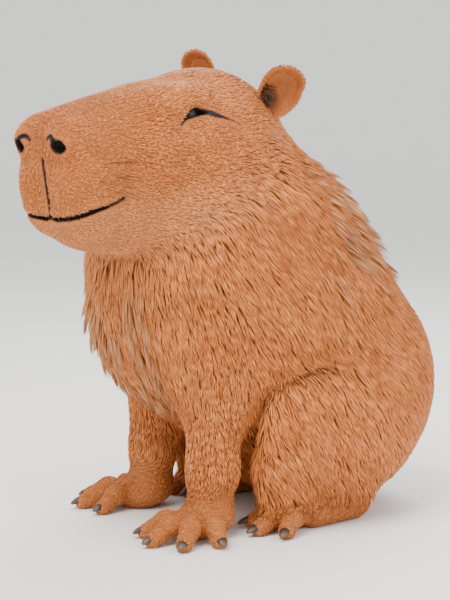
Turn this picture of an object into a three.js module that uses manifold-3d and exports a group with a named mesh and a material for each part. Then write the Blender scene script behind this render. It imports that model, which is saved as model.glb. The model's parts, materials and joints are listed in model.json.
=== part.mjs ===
// A sitting capybara at life size: millimetres, +Z up, facing -Y, its left side on +X.
// The flesh is one smooth blend of named masses, worked out on a grid, thinned to few facets
// and parted with thin cuts into head, neck, torso, rump, legs and feet.
import * as THREE from 'three';
import { mergeVertices } from 'three/addons/utils/BufferGeometryUtils.js';
import Module from 'manifold-3d';

const wasm = await Module();
wasm.setup();

// Driving sizes of the animal
const PART_GAP = 0.3;           // clear space between neighbouring parts
const HEAD_SCALE = 1.17;        // head masses below are for a skull 290 long
const HEAD_AT = [0, -24, 462];  // where the back of the skull joins the neck
const HEAD_DOWN = 9;            // degrees that the nose points below level
const HEAD_ASIDE = 15;          // degrees that the head turns to its left
const EYE_RADIUS = 15;
const EYE_AT = [59.5, -126, 118];   // left eye in the head's own frame
const LID_THICK = 2.6;
const LID_WIDE = 29;            // width of the slit between the lids, at its foot
const LID_RISE = [8, 1];        // how far the upper and the lower lid arch up over the slit's corners
const LID_LOW = -4;             // height of the corners against the ball's middle
const LID_FLARE = 30;           // the slit is twice as wide this far out from its foot
const EAR_TALL = 78;
const EAR_WIDE = 75;
const EAR_DEEP = 17;            // depth of the cup
const EAR_THICK = 4.5;
// Foot of each ear in the head's own frame and how it is turned, both as told for a left ear:
// the left one is cocked out to the side, the right one stands up and listens forward
const EARS = {
  left: { at: [60, 0, 100], yaw: 46, pitch: 12, roll: 38 },
  right: { at: [56, 6, 114], yaw: -8, pitch: -4, roll: 12 },
};
const FORE_CLAW = 19;
const HIND_CLAW = 23;
const CLAW_RADIUS = 8;
const CLAW_HIGH = 13;           // height of a claw's root over the floor
const CLAW_DROP = 5.5;          // and how far its tip lies below that
const FLOOR_SINK = 3;           // how far soles are pressed flat, measured from their round form
const MESH_STEP = { fine: 6, toes: 5, broad: 12, across: 7 };
const TIDY_LIMIT = 0.05;        // the most a fold may cost when a part has just been cut out
const CLOSE_LIMIT = 0.0025;     // the same for a finished part, which lies close to its neighbours
const FACETS = 4800;            // facets of the whole animal before it is parted

// Colours and finishes of the living animal
const COAT = finish('#c6855a', 0.85);
const FOOT_SKIN = finish('#a96f4b', 0.75);
const EAR_SKIN = finish('#b87a52', 0.8);
const HORN = finish('#2b2420', 0.45);
const EYE_GLOSS = finish('#140d0a', 0.08);

function finish(color, roughness) {
  return new THREE.MeshStandardMaterial({ color, roughness, metalness: 0 });
}

// A turn as nine numbers: yaw about Z, then pitch about X, then roll about Y, in degrees
function turn(yaw, pitch, roll = 0) {
  const about = (axis, degrees) => new THREE.Matrix4().makeRotationAxis(axis, degrees * Math.PI / 180);
  const matrix = about(new THREE.Vector3(0, 0, 1), yaw);
  matrix.multiply(about(new THREE.Vector3(1, 0, 0), pitch));
  return matrix.multiply(about(new THREE.Vector3(0, 1, 0), roll));
}

// An ellipsoid mass: roughly the distance from a point to its surface
function round(at, radii, pitch = 0, yaw = 0) {
  const m = turn(yaw, pitch).elements;
  const [rx, ry, rz] = radii;
  return (x, y, z) => {
    const px = x - at[0];
    const py = y - at[1];
    const pz = z - at[2];
    const a = (px * m[0] + py * m[1] + pz * m[2]) / rx;
    const b = (px * m[4] + py * m[5] + pz * m[6]) / ry;
    const c = (px * m[8] + py * m[9] + pz * m[10]) / rz;
    const near = Math.hypot(a, b, c) + 1e-6;
    return near * (near - 1) / (Math.hypot(a / rx, b / ry, c / rz) + 1e-9);
  };
}

// A limb mass: a rod with round ends that runs from one radius to another, widened across by flat
function limb(from, to, fromRadius, toRadius, flat = 1) {
  const d = [to[0] - from[0], to[1] - from[1], to[2] - from[2]];
  const length2 = d[0] * d[0] + d[1] * d[1] + d[2] * d[2];
  return (x, y, z) => {
    const px = x - from[0];
    const py = y - from[1];
    const pz = z - from[2];
    const t = Math.min(1, Math.max(0, (px * d[0] + py * d[1] + pz * d[2]) / length2));
    const off = Math.hypot((px - t * d[0]) / flat, py - t * d[1], pz - t * d[2]);
    return off - (fromRadius + (toRadius - fromRadius) * t);
  };
}

// A block mass with round edges, narrower towards its top by the share narrow
function block(at, half, edge, pitch, narrow) {
  const m = turn(0, pitch).elements;
  return (x, y, z) => {
    const py = y - at[1];
    const pz = z - at[2];
    const b = py * m[5] + pz * m[6];
    const c = py * m[9] + pz * m[10];
    const a = (x - at[0]) / Math.min(1.6, Math.max(0.4, 1 - narrow * c / half[2]));
    const qx = Math.abs(a) - half[0] + edge;
    const qy = Math.abs(b) - half[1] + edge;
    const qz = Math.abs(c) - half[2] + edge;
    const outside = Math.hypot(Math.max(qx, 0), Math.max(qy, 0), Math.max(qz, 0));
    return outside + Math.min(Math.max(qx, qy, qz), 0) - edge;
  };
}

// Two distances joined with a soft fillet of the given width
function soften(a, b, width) {
  const h = Math.max(width - Math.abs(a - b), 0) / width;
  return Math.min(a, b) - h * h * width * 0.25;
}

// Masses joined one after another: each entry is a mass, its fillet, and whether both sides have it
function blend(entries) {
  return (x, y, z) => {
    let distance = Infinity;
    for (const [mass, width, paired] of entries) {
      const next = mass(paired ? Math.abs(x) : x, y, z);
      distance = distance === Infinity ? next : soften(distance, next, width);
    }
    return distance;
  };
}

// The head in its own frame: -Y to the nose, Z = 0 at the line of the lower jaw
const headMasses = blend([
  [round([0, -72, 92], [70, 98, 70]), 0],                            // cranium
  [block([0, -208, 74], [57, 82, 71], 30, 1, 0.12), 40],             // deep square muzzle
  [round([0, -162, 128], [40, 112, 27], 1), 25],                     // bridge of the nose
  [round([35, -258, 62], [30, 36, 44]), 14, true],                   // pads of the upper lip
  [round([33, -268, 117], [22, 26, 21]), 14, true],                  // wings of the nose
  [round([52, -98, 56], [37, 76, 72]), 30, true],                    // cheek
  [round([58, -136, 94], [15, 46, 19]), 25, true],                   // cheek bone
  [round([46, -122, 136], [16, 32, 12], 0, -8), 26, true],           // brow
  [round([0, -222, 6], [40, 54, 27], -4), 16],                       // chin and lower lip
  [limb([26, -205, 8], [46, -95, 0], 27, 42), 30, true],             // jaw
  [round([0, -40, 40], [78, 95, 84]), 40],                           // throat and nape
]);

// The trunk with shoulders and haunches
const trunkMasses = blend([
  [round([0, 105, 182], [158, 182, 184]), 0],                        // rump
  [round([0, 10, 250], [160, 170, 175]), 60],                        // belly
  [round([0, 30, 330], [140, 160, 165], 25), 60],                    // loin
  [round([0, -40, 360], [144, 160, 165], 15), 60],                   // ribs
  [round([0, -142, 325], [116, 114, 150]), 60],                      // breast
  [round([78, -110, 350], [64, 90, 125], 10), 50, true],             // shoulder
  [round([0, -30, 435], [118, 135, 105]), 60],                       // withers
  [limb([0, -66, 440], [0, -86, 525], 122, 102), 50],                // neck
  [limb([0, -150, 400], [8, -170, 470], 94, 70), 50],                // throat
  [round([84, -134, 270], [46, 62, 85]), 30, true],                  // upper arm
  [round([120, 74, 158], [64, 142, 124], -14, 5), 14, true],         // haunch
  [round([124, -12, 100], [46, 58, 80], -20), 25, true],             // knee
  [round([0, 264, 98], [12, 16, 10]), 8],                            // stub of the tail
]);

// A foot's toes fan out from its ball: one entry per toe, with its angle and length
const KNUCKLE_HIGH = 24;
const FORE_TOES = {
  ball: [98, -136], reach: [24, 26], thick: 16, tip: 12,
  fan: [[-18, 54], [14, 64], [46, 60], [82, 44]],
};
const HIND_TOES = {
  ball: [118, 8], reach: [24, 20], thick: 17, tip: 12.5,
  fan: [[-17, 48], [12, 58], [42, 48]],
};

// Where one toe starts and ends on the left side, with its direction on the floor
function toeLine(foot, degrees, length) {
  const angle = degrees * Math.PI / 180;
  const dir = [Math.sin(angle), -Math.cos(angle)];
  const start = [foot.ball[0] + foot.reach[0] * dir[0], foot.ball[1] + foot.reach[1] * dir[1]];
  return { start, end: [start[0] + length * dir[0], start[1] + length * dir[1]], dir };
}

function toeMasses(foot) {
  const masses = [];
  for (const [degrees, length] of foot.fan) {
    const { start, end } = toeLine(foot, degrees, length);
    const knuckle = [(start[0] + end[0]) / 2, (start[1] + end[1]) / 2, KNUCKLE_HIGH];
    masses.push([limb([...start, KNUCKLE_HIGH - FLOOR_SINK], knuckle, foot.thick, foot.thick - 2), 7, true]);
    masses.push([limb(knuckle, [...end, foot.tip - FLOOR_SINK], foot.thick - 2, foot.tip), 7, true]);
  }
  return masses;
}

const forelegMasses = blend([
  [limb([88, -108, 290], [92, -114, 220], 58, 50), 0, true],         // shoulder end
  [limb([92, -114, 220], [94, -120, 92], 49, 34), 25, true],         // forearm
  [limb([94, -120, 92], [95, -124, 42], 33, 32), 20, true],          // wrist
  [round([98, -136, 25 - FLOOR_SINK], [42, 43, 25], 8), 18, true],   // ball of the foot
  ...toeMasses(FORE_TOES),
]);

const hindfootMasses = blend([
  // sole from heel to ball
  [limb([104, 98, 30 - FLOOR_SINK], [114, 24, 30 - FLOOR_SINK], 30, 33, 1.2), 0, true],
  ...toeMasses(HIND_TOES),
]);

const headTurn = turn(HEAD_ASIDE, HEAD_DOWN);
const headMatrix = new THREE.Matrix4().makeTranslation(...HEAD_AT).multiply(headTurn)
  .scale(new THREE.Vector3(HEAD_SCALE, HEAD_SCALE, HEAD_SCALE));
const headInverse = headMatrix.clone().invert();

function toWorld(point) {
  return new THREE.Vector3(...point).applyMatrix4(headMatrix);
}

// Distance to the whole animal without its ears
function animal(x, y, z) {
  let distance = soften(trunkMasses(x, y, z), forelegMasses(x, y, z), 28);
  distance = soften(distance, hindfootMasses(x, y, z), 14);
  const m = headInverse.elements;
  const hx = m[0] * x + m[4] * y + m[8] * z + m[12];
  const hy = m[1] * x + m[5] * y + m[9] * z + m[13];
  const hz = m[2] * x + m[6] * y + m[10] * z + m[14];
  return soften(distance, headMasses(hx, hy, hz), 38);
}

// Outward direction of the surface at a point
function outward(p) {
  const e = 0.5;
  const d = (dx, dy, dz) => animal(p.x + dx, p.y + dy, p.z + dz) - animal(p.x - dx, p.y - dy, p.z - dz);
  return new THREE.Vector3(d(e, 0, 0), d(0, e, 0), d(0, 0, e)).normalize();
}

// The point where a line from inside, along dir, leaves the animal
function surfaceAlong(from, dir) {
  let near = 0;
  let far = 200;
  for (let i = 0; i < 24; i++) {
    const mid = (near + far) / 2;
    const p = from.clone().addScaledVector(dir, mid);
    if (animal(p.x, p.y, p.z) < 0) near = mid;
    else far = mid;
  }
  return from.clone().addScaledVector(dir, near);
}

// Grid lines from low to high, with a step of their own between each pair of marks
function gridLines(marks) {
  const lines = [];
  for (let i = 0; i + 1 < marks.length; i++) {
    const [low, step] = marks[i];
    const high = marks[i + 1][0];
    const count = Math.round((high - low) / step);
    for (let k = 0; k < count; k++) lines.push(low + (high - low) * k / count);
  }
  lines.push(marks[marks.length - 1][0]);
  return lines;
}

// The surface where the distance is zero: one vertex in each grid cell that it crosses
function surfaceNet(distance, xs, ys, zs) {
  const [nx, ny, nz] = [xs.length, ys.length, zs.length];
  const values = new Float64Array(nx * ny * nz);
  const index = (i, j, k) => (i * ny + j) * nz + k;
  for (let i = 0; i < nx; i++)
    for (let j = 0; j < ny; j++)
      for (let k = 0; k < nz; k++) values[index(i, j, k)] = distance(xs[i], ys[j], zs[k]);
  const cell = new Int32Array(nx * ny * nz).fill(-1);
  const points = [];
  const steps = [[1, 0, 0], [0, 1, 0], [0, 0, 1]];
  for (let i = 0; i + 1 < nx; i++) for (let j = 0; j + 1 < ny; j++) for (let k = 0; k + 1 < nz; k++) {
    const sum = [0, 0, 0];
    let crossings = 0;
    for (let c = 0; c < 8; c++) for (const s of steps) {
      const a = [i + (c >> 2), j + ((c >> 1) & 1), k + (c & 1)];
      const b = [a[0] + s[0], a[1] + s[1], a[2] + s[2]];
      if (b[0] > i + 1 || b[1] > j + 1 || b[2] > k + 1) continue;
      const va = values[index(...a)];
      const vb = values[index(...b)];
      if ((va < 0) === (vb < 0)) continue;
      const t = va / (va - vb);
      sum[0] += xs[a[0]] + (xs[b[0]] - xs[a[0]]) * t;
      sum[1] += ys[a[1]] + (ys[b[1]] - ys[a[1]]) * t;
      sum[2] += zs[a[2]] + (zs[b[2]] - zs[a[2]]) * t;
      crossings++;
    }
    if (!crossings) continue;
    cell[index(i, j, k)] = points.length;
    points.push(sum.map((v) => v / crossings));
  }
  const faces = [];
  for (let i = 1; i + 1 < nx; i++) for (let j = 1; j + 1 < ny; j++) for (let k = 1; k + 1 < nz; k++) {
    const here = values[index(i, j, k)] < 0;
    for (let axis = 0; axis < 3; axis++) {
      const s = steps[axis];
      if (here === (values[index(i + s[0], j + s[1], k + s[2])] < 0)) continue;
      const u = steps[(axis + 1) % 3];
      const v = steps[(axis + 2) % 3];
      const ring = [[0, 0], [1, 0], [1, 1], [0, 1]].map(([a, b]) =>
        cell[index(i - u[0] * a - v[0] * b, j - u[1] * a - v[1] * b, k - u[2] * a - v[2] * b)]);
      if (!here) ring.reverse();
      const gap = (a, b) => Math.hypot(...points[ring[a]].map((p, n) => p - points[ring[b]][n]));
      if (gap(0, 2) < gap(1, 3)) faces.push([ring[0], ring[1], ring[2]], [ring[0], ring[2], ring[3]]);
      else faces.push([ring[1], ring[2], ring[3]], [ring[1], ring[3], ring[0]]);
    }
  }
  return { points, faces };
}

// Edges are folded away, the least noticed first, until few facets are left.
// Each vertex carries the sum of its facets' planes, and keen says where detail counts most.
// It stops at the wanted count, or before a fold that would be noticed more than the limit.
function thinOut({ points, faces }, wanted, keen, limit = Infinity) {
  const planes = points.map(() => new Float64Array(10));
  const around = points.map(() => new Set());
  const normal = (a, b, c) => {
    const u = [b[0] - a[0], b[1] - a[1], b[2] - a[2]];
    const v = [c[0] - a[0], c[1] - a[1], c[2] - a[2]];
    return [u[1] * v[2] - u[2] * v[1], u[2] * v[0] - u[0] * v[2], u[0] * v[1] - u[1] * v[0]];
  };
  faces.forEach((face, f) => {
    const n = normal(...face.map((v) => points[v]));
    const size = Math.hypot(...n) || 1e-12;
    const [a, b, c] = n.map((value) => value / size);
    const d = -(a * points[face[0]][0] + b * points[face[0]][1] + c * points[face[0]][2]);
    const row = [a * a, a * b, a * c, a * d, b * b, b * c, b * d, c * c, c * d, d * d];
    for (const v of face) {
      around[v].add(f);
      const weight = size * keen(points[v]);
      row.forEach((value, n2) => { planes[v][n2] += value * weight; });
    }
  });
  const cost = (q, [x, y, z]) => x * (q[0] * x + 2 * q[1] * y + 2 * q[2] * z + 2 * q[3])
    + y * (q[4] * y + 2 * q[5] * z + 2 * q[6]) + z * (q[7] * z + 2 * q[8]) + q[9];
  const stamp = new Int32Array(points.length);
  const heap = [];
  const push = (item) => {
    let i = heap.push(item) - 1;
    while (i > 0) {
      const parent = (i - 1) >> 1;
      if (heap[parent].cost <= item.cost) break;
      heap[i] = heap[parent];
      i = parent;
    }
    heap[i] = item;
  };
  const pop = () => {
    const top = heap[0];
    const last = heap.pop();
    if (!heap.length) return top;
    let i = 0;
    for (;;) {
      let child = 2 * i + 1;
      if (child >= heap.length) break;
      if (child + 1 < heap.length && heap[child + 1].cost < heap[child].cost) child++;
      if (heap[child].cost >= last.cost) break;
      heap[i] = heap[child];
      i = child;
    }
    heap[i] = last;
    return top;
  };
  const best = (a, b) => {
    const q = planes[a].map((value, n) => value + planes[b][n]);
    const middle = points[a].map((value, n) => (value + points[b][n]) / 2);
    const long = Math.hypot(...points[a].map((value, n) => value - points[b][n]));
    const [m00, m01, m02, , m11, m12, , m22] = q;
    const det = m00 * (m11 * m22 - m12 * m12) - m01 * (m01 * m22 - m12 * m02) + m02 * (m01 * m12 - m11 * m02);
    let place = middle;
    if (Math.abs(det) > 1e-7 * (m00 + m11 + m22) ** 3) {
      const [r0, r1, r2] = [-q[3], -q[6], -q[8]];
      const solved = [
        (r0 * (m11 * m22 - m12 * m12) - m01 * (r1 * m22 - m12 * r2) + m02 * (r1 * m12 - m11 * r2)) / det,
        (m00 * (r1 * m22 - m12 * r2) - r0 * (m01 * m22 - m12 * m02) + m02 * (m01 * r2 - r1 * m02)) / det,
        (m00 * (m11 * r2 - r1 * m12) - m01 * (m01 * r2 - r1 * m02) + r0 * (m01 * m12 - m11 * m02)) / det];
      if (Math.hypot(...solved.map((value, n) => value - middle[n])) < long) place = solved;
    }
    return { a, b, place, cost: Math.max(cost(q, place), 0) + 1e-4 * long * long * keen(middle),
      stampA: stamp[a], stampB: stamp[b] };
  };
  const neighbours = (v) => {
    const found = new Set();
    for (const f of around[v]) for (const w of faces[f]) if (w !== v) found.add(w);
    return found;
  };
  for (let v = 0; v < points.length; v++) for (const w of neighbours(v)) if (v < w) push(best(v, w));
  let left = faces.length;
  while (left > wanted && heap.length && heap[0].cost < limit) {
    const { a, b, place, stampA, stampB } = pop();
    if (stamp[a] !== stampA || stamp[b] !== stampB || !around[a].size || !around[b].size) continue;
    const shared = [...neighbours(a)].filter((v) => neighbours(b).has(v));
    if (shared.length !== 2) continue;
    const turned = [a, b].some((v) => [...around[v]].some((f) => {
      if (faces[f].includes(a) && faces[f].includes(b)) return false;
      const before = normal(...faces[f].map((w) => points[w]));
      const after = normal(...faces[f].map((w) => (w === v ? place : points[w])));
      const dot = before[0] * after[0] + before[1] * after[1] + before[2] * after[2];
      return dot < 0.3 * Math.hypot(...before) * Math.hypot(...after);
    }));
    if (turned) continue;
    for (const f of [...around[b]]) {
      if (faces[f].includes(a)) {
        for (const v of faces[f]) around[v].delete(f);
        faces[f] = null;
        left--;
      } else {
        faces[f] = faces[f].map((v) => (v === b ? a : v));
        around[a].add(f);
      }
    }
    around[b].clear();
    points[a] = place;
    planes[a] = planes[a].map((value, n) => value + planes[b][n]);
    stamp[a]++;
    stamp[b]++;
    for (const v of neighbours(a)) push(best(a, v));
  }
  const number = new Map();
  const kept = [];
  const triangles = faces.filter(Boolean).map((face) => face.map((v) => {
    if (!number.has(v)) number.set(v, kept.push(points[v]) - 1);
    return number.get(v);
  }));
  return { points: kept, faces: triangles };
}

function solidOf({ points, faces }) {
  return new wasm.Manifold(new wasm.Mesh({
    numProp: 3, vertProperties: new Float32Array(points.flat()), triVerts: new Uint32Array(faces.flat()) }));
}

function solidFrom(geometry, matrix = new THREE.Matrix4()) {
  const bare = geometry.clone();
  bare.deleteAttribute('normal');
  bare.deleteAttribute('uv');
  bare.applyMatrix4(matrix);
  const merged = mergeVertices(bare, 1e-4);
  return new wasm.Manifold(new wasm.Mesh({
    numProp: 3, vertProperties: new Float32Array(merged.attributes.position.array),
    triVerts: new Uint32Array(merged.index.array) }));
}

// The largest closed surface of a solid: loose scraps and sealed hollows go
function largest(solid) {
  return solid.decompose().sort((a, b) => b.volume() - a.volume())[0];
}

function meshOf(solid) {
  const mesh = solid.getMesh();
  const points = Array.from({ length: mesh.numVert }, (_, v) =>
    Array.from(mesh.vertProperties.slice(v * mesh.numProp, v * mesh.numProp + 3)));
  const faces = Array.from({ length: mesh.numTri }, (_, f) =>
    Array.from(mesh.triVerts.slice(3 * f, 3 * f + 3)));
  return { points, faces };
}

// Slivers and needless facets left by the cuts are folded away, with no change to the shape
function tidy(solid, limit) {
  return solidOf(thinOut(meshOf(solid), 4, () => 1, limit));
}

const model = new THREE.Group();
const animalGroup = new THREE.Group();
model.add(animalGroup);

function addPart(name, solid, material) {
  const { points, faces } = meshOf(tidy(solid, CLOSE_LIMIT));
  const geometry = new THREE.BufferGeometry();
  geometry.setAttribute('position', new THREE.Float32BufferAttribute(points.flat(), 3));
  geometry.setIndex(faces.flat());
  geometry.computeVertexNormals();
  const mesh = new THREE.Mesh(geometry, material);
  mesh.name = name;
  animalGroup.add(mesh);
}

// A closed skin of rings: ring(t) gives the points of one ring, and both ends are capped by a point
function loft(rings, start, end) {
  const points = [start, ...rings.flat(), end];
  const sides = rings[0].length;
  const faces = [];
  const at = (r, s) => 1 + r * sides + (s % sides);
  for (let s = 0; s < sides; s++) {
    faces.push([0, at(0, s + 1), at(0, s)]);
    faces.push([points.length - 1, at(rings.length - 1, s), at(rings.length - 1, s + 1)]);
    for (let r = 0; r + 1 < rings.length; r++) {
      faces.push([at(r, s), at(r, s + 1), at(r + 1, s + 1)]);
      faces.push([at(r, s), at(r + 1, s + 1), at(r + 1, s)]);
    }
  }
  const solid = solidOf({ points: points.map((p) => [p.x, p.y, p.z]), faces });
  if (solid.volume() > 0) return solid;
  return solidOf({ points: points.map((p) => [p.x, p.y, p.z]), faces: faces.map((f) => [f[0], f[2], f[1]]) });
}

// The whole animal, fine at the head and feet and broad over the trunk
const xs = gridLines([[-196, MESH_STEP.across], [196, 0]]);
const ys = gridLines([[-400, MESH_STEP.fine], [-90, MESH_STEP.broad], [304, 0]]);
const zs = gridLines([[-12, MESH_STEP.toes], [66, MESH_STEP.broad], [430, MESH_STEP.fine], [664, 0]]);
const keenness = ([x, y, z]) => {
  const h = new THREE.Vector3(x, y, z).applyMatrix4(headInverse);
  if (h.y < -60 && h.z > -30) return h.y < -200 ? 6 : 3;
  return z < 60 ? 2 : 1;
};
const fineNet = surfaceNet(animal, xs, ys, zs);
const skinPoints = fineNet.points.map((p) => new THREE.Vector3(...p));
const skinNet = thinOut(fineNet, FACETS, keenness);
const FAR = 900;
const underFloor = solidFrom(new THREE.BoxGeometry(FAR, FAR, FAR).translate(0, 0, -FAR / 2));
let whole = solidOf(skinNet).subtract(underFloor);

// Eyes: balls behind half closed lids, in sockets a thin gap wider than the ball
const side = [['left', 1], ['right', -1]];

// A frame at the eye: X out of the head, Y back along it, Z up, as in the head's own frame
function eyeMatrix(sign) {
  const local = new THREE.Matrix4().makeTranslation(sign * EYE_AT[0], EYE_AT[1], EYE_AT[2]);
  local.multiply(turn(sign * 12, 0, sign * -8));
  return headMatrix.clone().multiply(local).scale(new THREE.Vector3(1, 1, 1).divideScalar(HEAD_SCALE));
}

function ball(radius, around = 18, up = 12) {
  return new THREE.SphereGeometry(radius, around, up).rotateX(Math.PI / 2);
}

const SLIT_FROM = 8;            // the slit is cut from this far in front of the ball's middle
for (const [name, sign] of side) {
  const matrix = eyeMatrix(sign);
  const almond = new THREE.Shape();
  almond.moveTo(-LID_WIDE / 2, 0);
  almond.quadraticCurveTo(0, 2 * LID_RISE[0], LID_WIDE / 2, 0);
  almond.quadraticCurveTo(0, 2 * LID_RISE[1], -LID_WIDE / 2, 0);
  const slit = new THREE.ExtrudeGeometry(almond, { depth: 30, bevelEnabled: false, curveSegments: 8 });
  const corners = slit.attributes.position;
  for (let v = 0; v < corners.count; v++) {
    const flare = 1 + corners.getZ(v) / LID_FLARE;
    corners.setXY(v, corners.getX(v) * flare, corners.getY(v) * flare);
  }
  slit.rotateX(Math.PI / 2).rotateZ(sign * Math.PI / 2).translate(sign * SLIT_FROM, 0, LID_LOW);
  whole = whole.add(solidFrom(ball(EYE_RADIUS + LID_THICK), matrix));
  whole = whole.subtract(solidFrom(ball(EYE_RADIUS + PART_GAP), matrix)).subtract(solidFrom(slit, matrix));
  addPart(`eye_${name}`, solidFrom(ball(EYE_RADIUS), matrix), EYE_GLOSS);
}

// A slot cut along the skin: a thin diamond rod carried through points of the surface
function crease(points, wide, deep) {
  const shape = new THREE.Shape();
  shape.moveTo(deep, 0);
  shape.lineTo(0, wide / 2);
  shape.lineTo(-deep, 0);
  shape.lineTo(0, -wide / 2);
  const path = new THREE.CatmullRomCurve3(points);
  return solidFrom(new THREE.ExtrudeGeometry(shape, { steps: 2 * points.length, extrudePath: path }));
}

// Line of the mouth from corner to corner, drawn up a little at its ends and under the cleft
const MOUTH = { corner: 210, front: 292, level: 31, rise: 9, peak: 4, wide: 7, deep: 5, points: 8 };
const mouthLine = [];
for (let i = -MOUTH.points; i <= MOUTH.points; i++) {
  const share = Math.abs(i) / MOUTH.points;
  const angle = share * 1.25;
  const along = MOUTH.front - (MOUTH.front - MOUTH.corner) * (1 - Math.cos(angle)) / (1 - Math.cos(1.25));
  const height = MOUTH.level + MOUTH.rise * share ** 2 + MOUTH.peak * Math.exp(-((12 * share) ** 2));
  const inside = toWorld([0, -Math.min(along, 236), height]);
  const dir = new THREE.Vector3(Math.sign(i) * Math.sin(angle), -Math.cos(angle), 0);
  mouthLine.push(surfaceAlong(inside, dir.transformDirection(headMatrix)));
}
whole = whole.subtract(crease(mouthLine, MOUTH.wide, MOUTH.deep));

// Cleft of the upper lip, from between the nostrils to the mouth
const cleftLine = [96, 84, 70, 56, 44, 36].map((height) =>
  surfaceAlong(toWorld([0, -220, height]), new THREE.Vector3(0, -1, 0).transformDirection(headMatrix)));
whole = whole.subtract(crease(cleftLine, 6, 5));

// Nostrils: a round hole with a tail that curls over from its top towards the middle of the nose
const NOSTRIL = { aside: 28, height: 112, hole: [11, 14, 8.5], tail: -19, tailWide: 4.5 };
for (const [, sign] of side) {
  const mouthOf = (dx, dz) => surfaceAlong(toWorld([sign * (NOSTRIL.aside + dx), -235, NOSTRIL.height + dz]),
    new THREE.Vector3(sign * 0.12, -1, 0).transformDirection(headMatrix));
  const hole = new THREE.Matrix4().setPosition(mouthOf(0, 0)).multiply(headTurn);
  hole.scale(new THREE.Vector3(...NOSTRIL.hole));
  whole = whole.subtract(solidFrom(ball(1, 14, 8), hole));
  const tail = [0, 0.35, 0.7, 1].map((t) => mouthOf(NOSTRIL.tail * t, 4 + 7 * Math.sin(2.7 * t)));
  whole = whole.subtract(crease(tail, NOSTRIL.tailWide, 5));
}

// A frame at the foot of an ear: the cup opens to its -Y and stands up along its Z
function earMatrix(name, sign) {
  const { at, yaw, pitch, roll } = EARS[name];
  const frame = new THREE.Matrix4().makeTranslation(sign * at[0], at[1], at[2]);
  frame.multiply(turn(sign * yaw, pitch, sign * roll));
  return headMatrix.clone().multiply(frame).scale(new THREE.Vector3(1, 1, 1).divideScalar(HEAD_SCALE));
}

// The outer ear: a short round cup, notched at its back edge
function ear(name, sign) {
  const sides = 18;
  const matrix = earMatrix(name, sign);
  // The rim at angle a, shrunk to share q of its size and set back into the cup by the bowl's depth
  const place = (a, q, back) => {
    const notch = 1 - 0.10 * Math.exp(-(((a - 0.45) / 0.28) ** 2));
    const half = EAR_WIDE / 2 * (0.78 + 0.22 * Math.sin(a));
    const x = sign * half * Math.cos(a) * q * notch;
    const z = EAR_TALL * 0.42 + EAR_TALL * 0.58 * Math.sin(a) * q * notch;
    const cup = EAR_DEEP * (1 - q * q) + 5 * (x / half) ** 2;
    return new THREE.Vector3(x, cup + back, z).applyMatrix4(matrix);
  };
  const ring = (q, back) => Array.from({ length: sides }, (_, i) => place(i * 2 * Math.PI / sides, q, back));
  const front = [0.4, 0.75, 0.96].map((q) => ring(q, 0));
  const behind = [0.96, 0.7, 0.35].map((q) => ring(q, EAR_THICK));
  const rim = ring(1.03, EAR_THICK / 2);
  return loft([...front, rim, ...behind], place(0, 0, 0), place(0, 0, EAR_THICK));
}

// The ear's root: a flattened stem that widens from the back of the cup down into the head
const STEM = { top: 8, foot: 22, tall: 46, flat: 0.5, behind: 2 };
function earStem(name, sign) {
  const stem = new THREE.CylinderGeometry(STEM.top, STEM.foot, STEM.tall, 14).rotateX(Math.PI / 2);
  stem.scale(1, STEM.flat, 1).translate(0, EAR_DEEP + STEM.behind, 0);
  return solidFrom(stem, earMatrix(name, sign));
}

// A flat sided region seen from the left: corners as Y and Z, between two distances from the middle
function region(corners, from, to) {
  const shape = new THREE.Shape(corners.map(([y, z]) => new THREE.Vector2(y, z)));
  const geometry = new THREE.ExtrudeGeometry(shape, { depth: to - from, bevelEnabled: false });
  const stand = new THREE.Matrix4().makeBasis(
    new THREE.Vector3(0, 1, 0), new THREE.Vector3(0, 0, 1), new THREE.Vector3(1, 0, 0));
  return geometry.applyMatrix4(stand).translate(from, 0, 0);
}

// The same corners moved out by a distance: each edge shifts along its normal
function widen(corners, by) {
  const count = corners.length;
  const line = (i) => {
    const [a, b] = [corners[i % count], corners[(i + 1) % count]];
    const long = Math.hypot(b[0] - a[0], b[1] - a[1]);
    const n = [(b[1] - a[1]) / long, -(b[0] - a[0]) / long];
    return [n[0], n[1], n[0] * a[0] + n[1] * a[1] + by];
  };
  return corners.map((_, i) => {
    const [p, q] = [line(i + count - 1), line(i)];
    const det = p[0] * q[1] - p[1] * q[0];
    return [(p[2] * q[1] - q[2] * p[1]) / det, (p[0] * q[2] - q[0] * p[2]) / det];
  });
}

// Takes the flesh inside a region off the animal as a part, and leaves the gap beside it
function part(corners, from, to, matrix = new THREE.Matrix4()) {
  const piece = tidy(largest(whole.intersect(solidFrom(region(corners, from, to), matrix))), TIDY_LIMIT);
  const room = region(widen(corners, PART_GAP), from - PART_GAP, to + PART_GAP);
  whole = whole.subtract(solidFrom(room, matrix));
  return piece;
}

function mirrored([from, to], sign) {
  return sign > 0 ? [from, to] : [-to, -from];
}

// An oval outline of few corners, leaning by degrees
function oval([y, z], [along, up], degrees, count = 16) {
  const lean = degrees * Math.PI / 180;
  return Array.from({ length: count }, (_, i) => {
    const a = i * 2 * Math.PI / count;
    const [p, q] = [along * Math.cos(a), up * Math.sin(a)];
    return [y + p * Math.cos(lean) - q * Math.sin(lean), z + p * Math.sin(lean) + q * Math.cos(lean)];
  });
}

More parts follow.
